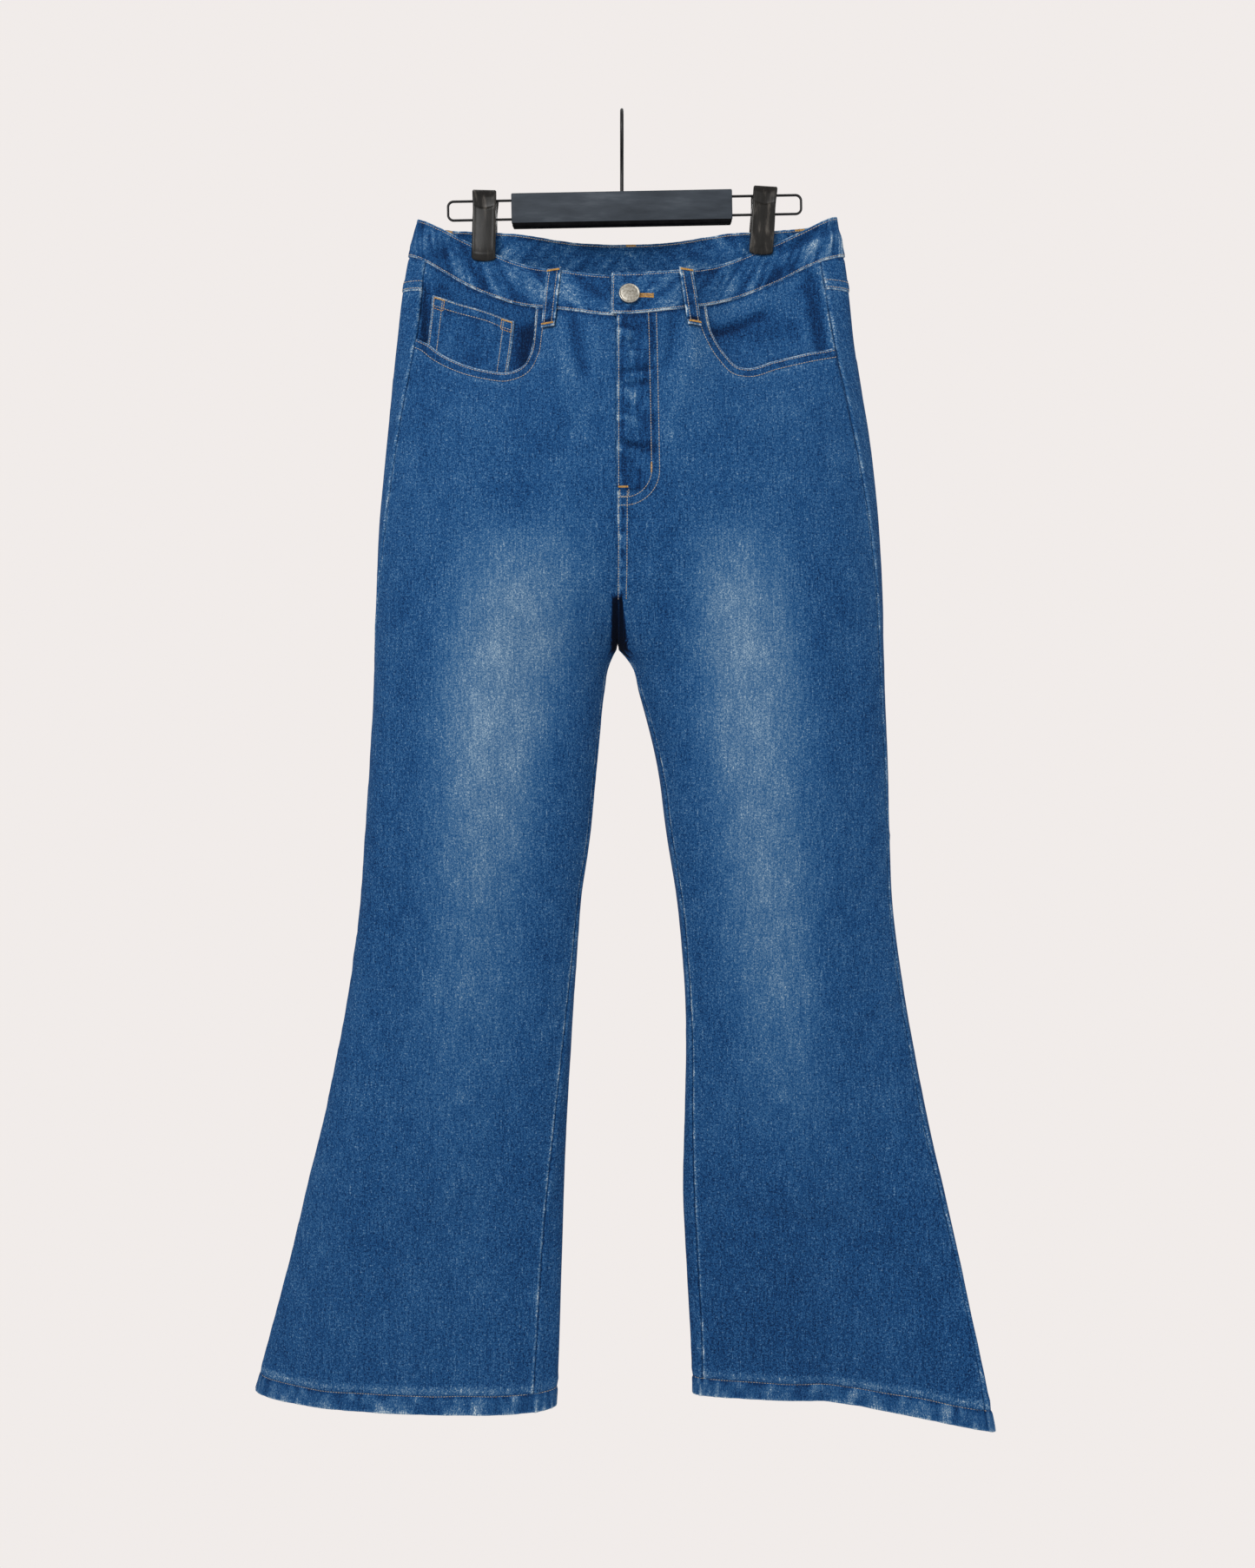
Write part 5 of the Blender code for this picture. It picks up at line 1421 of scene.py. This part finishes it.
# Points on an arc: centre + radius (cos a, sin a)
def arcPoints(centre, radius, start, end, count):
    turn = np.linspace(start, end, count)
    return np.stack((centre[0] + radius * np.cos(turn), centre[1] + radius * np.sin(turn)), -1)


# Pocket mouths: two rows under the folded edge
for half in ("right", "left"):
    for row in (0.002, 0.0082):
        x, z = movedLine(scoopLine(half, 160, 0), row * -sideSign[half]).T
        dSide = (sideTheta(half, z) - thetaAt(half, x, z)) * waist["radius"]
        stitchLine("mouthStitching", *onFront(half, x, z),
                   keep=(z < bandEdge("front_seam", x) - 0.0015) & (dSide > 0.0015))


# The fly's J at an inset: down the straight part, round the corner and in to the centre front
def flyLine(inset):
    corner = (fly["width"] - fly["round"], fly["bottomZ"] + fly["round"])
    bend = arcPoints(corner, fly["round"] - inset, 0, -math.pi / 2, 24)
    top = (fly["width"] - inset - 0.0026, bandEdge("front_seam", fly["topX"]) - 0.001)
    return denseLine(joined((top,), bend, ((-0.0035, fly["bottomZ"] + inset),)))


# A line beside the centre front seam
def risePath(row, top, low):
    z = np.linspace(top, low, 260)
    inner = innerTheta("left", z)
    return onSkin(frontSkin, "left", inner + row / arcSpeed("left", inner, z), z)


for inset in (0, 0.0068):
    stitchLine("flyStitching", *onFront("left", *flyLine(inset).T))
for row, top, low in ((0.0017, -0.1945, -0.344), (0.0017, -0.348, -0.44), (0.009, -0.348, -0.44)):
    stitchLine("flyStitching", *risePath(row, top, low))
tackLines = (((0.0255, -0.3245), (0.0255, -0.3325), 0.0015), ((-0.0028, -0.345), (0.0054, -0.345), 0.0019))
for start, end, width in tackLines:
    bartack("flyTacks", *onFront("left", *denseLine((start, end), 0.0005).T), width)
line = denseLine(((-0.0015, -0.347), (-0.0015, -0.353), (0.006, -0.353), (0.006, -0.347)), 0.0005)
stitchLine("flyStitching", *onFront("left", *line.T))


# Waistband: a row near each edge on both faces, one along the free end, and the buttonhole.
# The face is 1 for the outer one and -1 for the inner one.
def onBand(theta, share, face=1):
    z, height, _ = bandSkin(theta, share)
    points, way = onCloth("left", theta, z, height + face * waist["half"])
    return points, face * way


# On the band's outer face at x and z
def onBandFront(x, z):
    top, low = bandEdge("front_top", x), bandEdge("front_seam", x)
    return onBand(thetaAt("left", x, z), (top - z) / (top - low))


theta = np.linspace(waistStart + 0.006, waistEnd - 0.01, 1400)
shown = theta < fullTurn + float(thetaAt("left", waist["upperEndX"] - 0.001, waist["middleZ"]))
for share in (waist["topRow"] / waist["height"], 1 - waist["lowRow"] / waist["height"]):
    for face in (1, -1):
        stitchLine("bandStitching", *onBand(theta, share, face), keep=shown)
stitchLine("bandStitching", *onBand(waistStart + 0.009, np.linspace(0.09, 0.94, 60)))

# Each line has its two ends, as x and as height above the hole's middle, and its width
hole = {"z": -0.1762, "lines": (((0.0125, -0.0011), (0.0262, -0.0011), 0.0021),
                                ((0.0125, 0.0011), (0.0262, 0.0011), 0.0021),
                                ((0.027, 0.002), (0.027, -0.002), 0.0018))}
for start, end, width in hole["lines"]:
    x, z = denseLine((start, end), 0.0005).T
    bartack("buttonhole", *onBandFront(x, z + hole["z"]), width)


# Hems: one row right round each leg
theta = np.linspace(0, fullTurn, 700)
for half in ("right", "left"):
    z, height, _ = hemSkin(half, theta, 0.03)
    stitchLine("hemStitching", *onCloth(half, theta, z, height + hem["half"] * 0.75 - hem["inward"]))


# Coin pocket: its top hem, both sides and a small gold box at each top corner
def onCoin(line):
    theta, height, _ = coinSkin(*line.T)
    return onCloth("right", theta, line[:, 1], height + denimCut["layer"] / 2)


wide, tall = coin["wide"], coin["tall"]
for row in (0.0016, 0.0078):
    stitchLine("coinStitching", *onCoin(denseLine(coinSpot((0.02, 0.98), (row / tall,) * 2))))
for row in (0.0016, 0.0088):
    for across in (row / wide, 1 - row / wide):
        stitchLine("coinStitching", *onCoin(denseLine(coinSpot((across,) * 2, (0.02, 1)))))
for near, far in ((0.0016, 0.0105), (wide - 0.0016, wide - 0.0105)):
    box = coinSpot(np.array((near, far, far, near, near)) / wide, (0.03, 0.03, 0.165, 0.165, 0.03))
    stitchLine("coinStitching", *onCoin(denseLine(box, 0.0005)), gold=True)
    bartack("coinStitching", *onCoin(denseLine(box[:2], 0.0005)), 0.0016)


# Back pockets: rows beside every edge, and bartacks at the top corners
def onBackPocket(side, across, down):
    theta, z, height, _ = backPocketSkin(side, across, down)
    return onCloth(side, theta, z, height + denimCut["layer"] / 2)


for half in ("right", "left"):
    for row in (0.0018, 0.0082):
        beside, low = row / backPocket["wide"], 1 - row / backPocket["footTall"]
        corners = ((beside, 0.015), (beside, low), (0.5, low), (1 - beside, low), (1 - beside, 0.015))
        stitchLine("backPocketStitching", *onBackPocket(half, *denseLine(corners, 0.006).T))
    for row in (0.0018, 0.0135):
        across = np.linspace(0.012, 0.988, 120)
        stitchLine("backPocketStitching", *onBackPocket(half, across, row / backPocket["tall"]))
    for across in (0.012, 0.988):
        bartack("backPocketStitching", *onBackPocket(half, across, np.linspace(0.01, 0.1, 20)), 0.002)


# Yoke seams and the centre back seam: two rows each
for half in ("right", "left"):
    for row in (0.0014, 0.0078):
        z = backEdges(half)[0] + row
        theta = betweenSeams(half, backShares, z, True)
        stitchLine("backStitching", *onSkin(backSkin, half, theta, z, 0.0006))
z = np.linspace(-0.15, -0.472, 400)
inner = innerTheta("left", z, True)
for row in (0.0017, 0.009):
    theta = inner - row / arcSpeed("left", inner, z)
    lift = 0.0004 * (z > yokeSeam("left", theta, z))
    stitchLine("backStitching", *onSkin(backSkin, "left", theta, z, lift))


# Belt loops: two rows along each and a gold bartack at both ends, at a share of the loop's half
def onLoop(loop, across, down, out):
    side, theta, z, height, _ = loopFace(loop, across, down)
    return onCloth(side, theta, z, height + loopLook["half"] * out)


for loop in loops:
    for across in (-0.56, 0.56):
        stitchLine("loopStitching", *onLoop(loop, across, np.linspace(0.03, 0.97, 60), 1))
    if loop["back"]:
        x = loop["topX"] + np.linspace(-0.0045, 0.0045, 20)
        bartack("loopTacks", *onBand(thetaAt("left", x, waist["middleZ"], True), 0.045, -1), 0.0019)
    for down in (0.045, 0.955):
        bartack("loopTacks", *onLoop(loop, np.linspace(-0.88, 0.88, 20), down, 0.95), 0.0019)

for name, parts in threadJobs.items():
    makeThreads(name, parts)
print("stitching made")


# Hanger, clips and button

# One noise picks the colour from the stops and roughens the surface
def plainMaterial(name, stops, roughness, scale, metallic=0, relief=0.2, stretch=(1, 1, 1), specular=0.5):
    made, tree = newMaterial(name)
    spot = addNode(tree, "TexCoord").outputs["Object"]
    scaled = addNode(tree, "Mapping", {"Vector": spot, "Scale": stretch}).outputs[0]
    noise = addNode(tree, "TexNoise", {"Vector": scaled, "Scale": scale, "Detail": 5,
                                       "Roughness": 0.62}).outputs["Fac"]
    bump = addNode(tree, "Bump", {"Strength": relief, "Distance": 0.0002, "Height": noise}).outputs[0]
    finishMaterial(tree, ramp(tree, noise, stops), roughness,
                   {"Normal": bump, "Metallic": metallic, "Specular IOR Level": specular})
    return made


charcoalPaint = plainMaterial("charcoalPaint", (
    (0.3, (0.024, 0.031, 0.041)), (0.56, (0.04, 0.05, 0.064)), (0.76, (0.07, 0.083, 0.1))),
    0.58, 70, relief=0.12, stretch=(0.35, 1, 1.6), specular=0.25)
blackWire = plainMaterial("blackWire", (
    (0.35, (0.004, 0.004, 0.005)), (0.75, (0.012, 0.012, 0.013))), 0.4, 160, specular=0.3)
# near-black for the bar's underside: painted shade where it faces down
paintedUndersideShade = plainMaterial("paintedUndersideShade", (
    (0.35, (0.002, 0.002, 0.0025)), (0.75, (0.006, 0.006, 0.007))), 0.7, 160, specular=0.05)
clipPlastic = plainMaterial("clipPlastic", (
    (0.34, (0.006, 0.0055, 0.005)), (0.56, (0.015, 0.0135, 0.012)), (0.78, (0.11, 0.098, 0.086))),
    0.36, 95, relief=0.35, stretch=(2.2, 1, 0.45), specular=0.28)
springSteel = plainMaterial("springSteel", (
    (0.3, (0.3, 0.29, 0.27)), (0.7, (0.52, 0.51, 0.49))), 0.34, 400, metallic=1)
pewter = plainMaterial("pewter", (
    (0.28, (0.16, 0.14, 0.11)), (0.46, (0.42, 0.39, 0.33)), (0.72, (0.66, 0.63, 0.57))),
    0.4, 520, metallic=1, relief=0.22)
zipTape = plainMaterial("zipTape", (
    (0.3, (0.01, 0.018, 0.045)), (0.7, (0.022, 0.036, 0.08))), 0.85, 900)


# A round rod along points that lie in one plane, with domed ends
def rodPoints(path, across, radius, sides=20):
    along = unit(np.gradient(path, axis=0))
    dome = np.linspace(math.pi / 2, 0, 6)[:-1]
    first = path[0] - along[0] * radius * np.sin(dome)[:, None]
    last = path[-1] + along[-1] * radius * np.sin(dome[::-1])[:, None]
    size = joined(np.cos(dome), np.ones(len(path)), np.cos(dome[::-1]))
    along = joined(np.repeat(along[:1], 5, 0), along, np.repeat(along[-1:], 5, 0))
    up = np.cross(along, across)
    return sections(joined(first, path, last), np.array(across), up, np.maximum(size, 0.02) * radius, sides)


# A tube in one plain material in place of a solid
def plainPiece(name, points, finish, node):
    uv = np.zeros((points.shape[0], points.shape[1] + 1, 2))
    return place(name, tubeMesh(name, points, uv, {}), (finish,), (node,))


# Turned about the Y axis and moved
def tilted(points, degrees, spot):
    angle = math.radians(degrees)
    x, y, z = np.moveaxis(points, -1, 0)
    turned = (x * math.cos(angle) + z * math.sin(angle), y, z * math.cos(angle) - x * math.sin(angle))
    return np.stack(turned, -1) + spot


hanger = {"tilt": -1.1, "barZ": -0.0855, "barLength": 0.199, "barHeight": 0.03, "barDepth": 0.009,
          "barCorner": 0.001, "underside": 0.0031,
          "wireRadius": 0.0011, "wireTop": -0.0755, "wireLow": -0.0925, "corner": 0.005,
          "ends": {"right": -0.157, "left": 0.162}, "inBar": 0.01,
          "hookRadius": 0.0016, "hookInner": 0.02, "shankTurn": 60, "tipTurn": 115, "inShank": 0.012}
barSpot = (0, 0, hanger["barZ"])


# Hook: an arc from its tip over the crown, a smaller bend back to the middle, and the shank
def makeHook():
    inner, radius = hanger["hookInner"], hanger["hookInner"] + hanger["hookRadius"]
    shankTurn = math.radians(hanger["shankTurn"])
    join = math.pi + shankTurn
    bend = (2 * radius * math.cos(join), 2 * radius * math.sin(join) - inner)
    start = math.pi / 2 - math.radians(hanger["tipTurn"])
    path = joined(arcPoints((0, -inner), radius, start, join, 90),
                  arcPoints(bend, radius, shankTurn, 0, 26)[1:])
    foot = hanger["barZ"] + hanger["barHeight"] / 2 - hanger["inShank"]
    down = np.linspace(path[-1, 1], foot, 14)[1:]
    y, z = joined(path, np.stack((np.full(13, path[-1, 0]), down), -1)).T
    points = np.stack((0 * y, y - y[-1], z), -1)
    plainPiece("hookWire", rodPoints(points, (1, 0, 0), hanger["hookRadius"]), blackWire,
               "hanger_hook")


# Wire loop: out along the top, round two corners and back
def makeWireLoop(side):
    sign, corner = sideSign[side], hanger["corner"]
    end = sign * hanger["ends"][side] - corner
    top, low = hanger["wireTop"] - hanger["barZ"], hanger["wireLow"] - hanger["barZ"]
    straight = np.linspace(hanger["barLength"] / 2 - hanger["inBar"], end, 20)[:-1]
    x, z = joined(np.stack((straight, np.full(19, top)), -1),
                  arcPoints((end, top - corner), corner, math.pi / 2, 0, 12),
                  arcPoints((end, low + corner), corner, 0, -math.pi / 2, 12),
                  np.stack((straight[::-1], np.full(19, low)), -1)).T
    points = tilted(np.stack((sign * x, 0 * x, z), -1), hanger["tilt"], barSpot)
    plainPiece(sided("wireLoop", side), rodPoints(points, (0, 1, 0), hanger["wireRadius"]),
               blackWire, "wire_loop_" + side)


# Outline of a rounded rectangle, as two arrays round its corners, with one more point on each
# upright side, where the underside starts
def roundedOutline(wide, deep, corner, steps=6):
    quarter = joined(*[np.linspace(0, math.pi / 2, steps) + k * math.pi / 2 for k in range(4)])
    signs = np.repeat(((1, 1), (-1, 1), (-1, -1), (1, -1)), steps, axis=0)
    y = signs[:, 0] * (wide / 2 - corner) + corner * np.cos(quarter)
    z = signs[:, 1] * (deep / 2 - corner) + corner * np.sin(quarter)
    spots = (2 * steps, 4 * steps)
    return np.insert(y, spots, (y[2 * steps - 1], y[0])), np.insert(z, spots, hanger["underside"] - deep / 2)


# Bar: a rounded board whose lower edge is cut back and near-black, as painted shade on the faces turned down
def makeBar():
    corner, half = hanger["barCorner"], hanger["barLength"] / 2
    deep, tall, underside = hanger["barDepth"], hanger["barHeight"], hanger["underside"]
    turn = np.linspace(0, math.pi / 2, 6)
    at = half - corner + corner * np.cos(turn)
    x = joined(-at, np.linspace(corner - half, half - corner, 60)[1:-1], at[::-1])[:, None]
    ends = corner * (1 - np.sin(turn))
    shrink = 2 * joined(ends, np.zeros(58), ends[::-1])[:, None]
    y, z = roundedOutline(deep, tall, corner)
    cut = np.clip((underside - tall / 2 - z) / underside, 0, 1)
    points = np.stack(np.broadcast_arrays(
        x * (1 - 0.012 * cut), y * (1 - shrink / deep) * (1 - 0.35 * cut), z * (1 - shrink / tall)), -1)
    made = plainPiece("barBody", tilted(points, hanger["tilt"], barSpot), charcoalPaint,
                      "hanger_bar")
    made.data.materials.append(paintedUndersideShade)
    centres = np.empty(len(made.data.polygons) * 3)
    made.data.polygons.foreach_get("center", centres)
    above = centres[2::3] - hanger["barZ"] + centres[::3] * math.tan(math.radians(hanger["tilt"]))
    under = above < underside * 0.9 - tall / 2
    made.data.polygons.foreach_set("material_index", under.astype(np.int32))


# The outer face's rows are height and distance from the middle
clipLook = {"width": 0.0215, "height": 0.0596, "grip": 0.00395, "nearWire": 0.0014, "topGap": 0.0092,
            "corner": 0.0016, "outer": ((-0.001, 0.0058), (0.003, 0.007), (0.03, 0.008), (0.043, 0.0088),
                                        (0.049, 0.0096), (0.0575, 0.0114), (0.064, 0.0124)),
            "springRadius": 0.0025, "springWire": 0.00045, "springLength": 0.0112, "springAbove": 0.0085}


# A unit outline's coordinate spread to a half size, keeping its corner radius
def cornered(value, half, corner):
    core = np.clip(value, -0.2, 0.2)
    return core / 0.2 * (half - corner) + (value - core) / 0.3 * corner


# Turned by a clip's lean and moved to its foot
def onClip(clip, points):
    return tilted(points, clip["lean"], (clip["x"], 0, clip["bottomZ"]))


# One jaw: rounded sections stacked up its height between an inner and an outer face
def makeJaw(clip, part):
    height, below, pivot = clipLook["height"], clip["below"], clip["pivot"]
    grip, nearWire = clipLook["grip"], clipLook["nearWire"]
    h = ((height + below) * spread(64, 0.7) - below)[:, None]
    innerFace = np.interp(h, (0, 0.0275, pivot - 0.0015, pivot + 0.0015, height),
                          (grip, grip, nearWire, nearWire, clipLook["topGap"]))
    outerFace = smoothCurve(*np.array(clipLook["outer"]).T, h)
    rounded = roundedEnd(np.minimum(h + below, height - h) + tiny, 0.0016, 0.015)
    waisted = 1 - 0.035 * bell(h - 0.043, 0.008)
    arc, face = np.linspace(0, math.pi / 2, 5), np.linspace(-0.2, 0.2, 19)[1:-1]
    sides, ends, flat = 0.2 + 0.3 * np.sin(arc), 0.2 + 0.3 * np.cos(arc), np.full(17, 0.5)
    u = joined(face, sides, sides[::-1], -face, -sides, -sides[::-1])
    v = joined(flat, ends, -ends[::-1], -flat, -ends, ends[::-1])
    middle, half = (innerFace + outerFace) / 2, (outerFace - innerFace) / 2
    # corners keep one radius: widths and depths are both measured in from the outline
    corner = np.minimum(clipLook["corner"], half * 0.9)
    x = cornered(u, clipLook["width"] / 2 * waisted, corner) * (0.87 + 0.13 * rounded)
    out = cornered(v, half, corner)
    # a thumb dish above a low arched step, and a shallow panel inside a rim below it
    dish = 0.0022 * softStep((h - 0.0435 - 26 * x ** 2) / 0.0022) * bell(x, 0.0085)
    dish = dish * softStep((height - 0.0012 - h) / 0.004)
    inset = 0.0003 * softStep((0.0088 - np.abs(x)) / 0.0012) * softStep((h - 0.0035) / 0.0012)
    y = middle + out * rounded - (dish + inset + 5 * x ** 2) * (out > 0)
    # its foot is a shallow arc
    foot = 17 * x ** 2 * (1 - softStep(h / 0.014))
    points = np.stack((x, -y if part == "front" else y, h + foot), -1)
    plainPiece(sided(sided("jaw", part), clip["side"]), onClip(clip, points), clipPlastic,
               "clip_" + part + "_" + clip["side"])


# Spring: a close coil above the clip's pivot
def makeSpring(clip):
    turn = np.linspace(0, 8 * fullTurn, 180)
    outward = np.stack((0 * turn, np.cos(turn), np.sin(turn)), -1)
    path = outward * clipLook["springRadius"]
    path[:, 0] = (turn / turn[-1] - 0.5) * clipLook["springLength"]
    size = np.full(len(turn), clipLook["springWire"])
    size[[0, -1]] *= 0.2
    points = sections(path, outward, np.cross(unit(np.gradient(path, axis=0)), outward), size, 9)
    points = points + (0, 0, clip["pivot"] + clipLook["springAbove"])
    plainPiece(sided("spring", clip["side"]), onClip(clip, points), springSteel,
               "clip_spring_" + clip["side"])


# The profile's rows are shares of the radius and of the height
button = {"x": 0.0065, "z": -0.176, "radius": 0.0092, "height": 0.0032, "profile": (
    (0.02, 0.93), (0.3, 0.92), (0.55, 0.89), (0.72, 0.85), (0.79, 0.82), (0.82, 0.8), (0.845, 0.84),
    (0.875, 0.92), (0.91, 0.96), (0.945, 0.94), (0.975, 0.86), (0.995, 0.72), (1, 0.55), (0.985, 0.36),
    (0.93, 0.16), (0.8, 0.02), (0.45, 0), (0.02, 0))}


# Round cap: a low dome inside a grooved, rolled rim
def makeButton():
    seat, way = onBandFront(button["x"], button["z"])
    out, rise = np.array(button["profile"]).T
    across = unit(np.cross(way, (0, 0, 1)))
    centre = seat + way * (0.0003 + rise * button["height"])[:, None]
    points = sections(centre, across, np.cross(across, way), out * button["radius"], 72)
    plainPiece("buttonCap", points, pewter, "button")


makeHook()
makeBar()
for half in ("right", "left"):
    makeWireLoop(half)
for clip in clips:
    makeJaw(clip, "front")
    makeJaw(clip, "back")
    makeSpring(clip)
makeButton()
for node, finish in (("fly_facing", denimInside), ("zip", zipTape)):
    solid = bpy.data.objects.get(node)
    if solid is not None:
        solid.data.materials.clear()
        solid.data.materials.append(finish)
print("hanger, clips and button made")


# Camera, floor and light

cameraPlace = {"spot": (0, -1, -0.524), "lens": 25.395, "shiftX": 0.0036, "shiftY": -0.057}
camera = bpy.data.cameras.new("camera")
camera.lens = cameraPlace["lens"]
camera.shift_x, camera.shift_y = cameraPlace["shiftX"], cameraPlace["shiftY"]
camera.clip_start = 0.05
cameraObject = newObject("camera", camera)
cameraObject.location = cameraPlace["spot"]
cameraObject.rotation_euler = (math.pi / 2, 0, 0)
bpy.context.scene.camera = cameraObject

studio = {"wall": (0.88, 0.838, 0.82), "ambient": 0.5, "aim": (0, 0, -0.6),
          "floorZ": -1.5, "floorBack": 0.2, "floorReach": 1.6}
lamps = (
    {"name": "key", "spot": (-1.15, -2.0, 0.75), "size": 1.3, "power": 38},
    {"name": "fill", "spot": (1.6, -1.6, -0.2), "size": 1.6, "power": 9.5},
    {"name": "rear", "spot": (0.4, 2.2, 0.9), "size": 1.8, "power": 20},
)
for lamp in lamps:
    light = bpy.data.lights.new(lamp["name"], "AREA")
    light.size = lamp["size"]
    light.energy = lamp["power"]
    holder = newObject(lamp["name"], light)
    holder.location = lamp["spot"]
    x, y, z = np.array(studio["aim"]) - lamp["spot"]
    holder.rotation_euler = (math.pi / 2 + math.atan2(z, math.hypot(x, y)), 0, -math.atan2(x, y))

# The camera sees the pale wall's colour; the cloth is lit by a dimmer and nearly white sky
world = bpy.data.worlds.new("studio")
world.use_nodes = True
sky = world.node_tree
sky.nodes.clear()
seen = addNode(sky, "Background", {"Color": (*studio["wall"], 1), "Strength": 1})
lit = addNode(sky, "Background", {"Color": (1, 0.99, 0.98, 1), "Strength": studio["ambient"]})
path = addNode(sky, "LightPath")
both = addNode(sky, "MixShader", {0: path.outputs["Is Camera Ray"], 1: lit.outputs[0], 2: seen.outputs[0]})
addNode(sky, "OutputWorld", {"Surface": both.outputs[0]})
bpy.context.scene.world = world
bpy.context.scene.view_settings.view_transform = "Standard"

reach, level, back = studio["floorReach"], studio["floorZ"], studio["floorBack"]
corners = ((-reach, -reach, level), (reach, -reach, level), (reach, back, level), (-reach, back, level))
floor = newObject("floor", newMesh("floor", np.array(corners), [(0, 1, 2, 3)]))
floorFinish, floorTree = newMaterial("paleFloor")
spot = addNode(floorTree, "TexCoord").outputs["Object"]
noise = addNode(floorTree, "TexNoise", {"Vector": spot, "Scale": 30}).outputs["Fac"]
paleness = ramp(floorTree, noise, ((0.3, (0.7, 0.67, 0.655)), (0.7, (0.74, 0.71, 0.695))))
finishMaterial(floorTree, paleness, 0.7, {})
floor.data.materials.append(floorFinish)
print("camera, light and floor made")
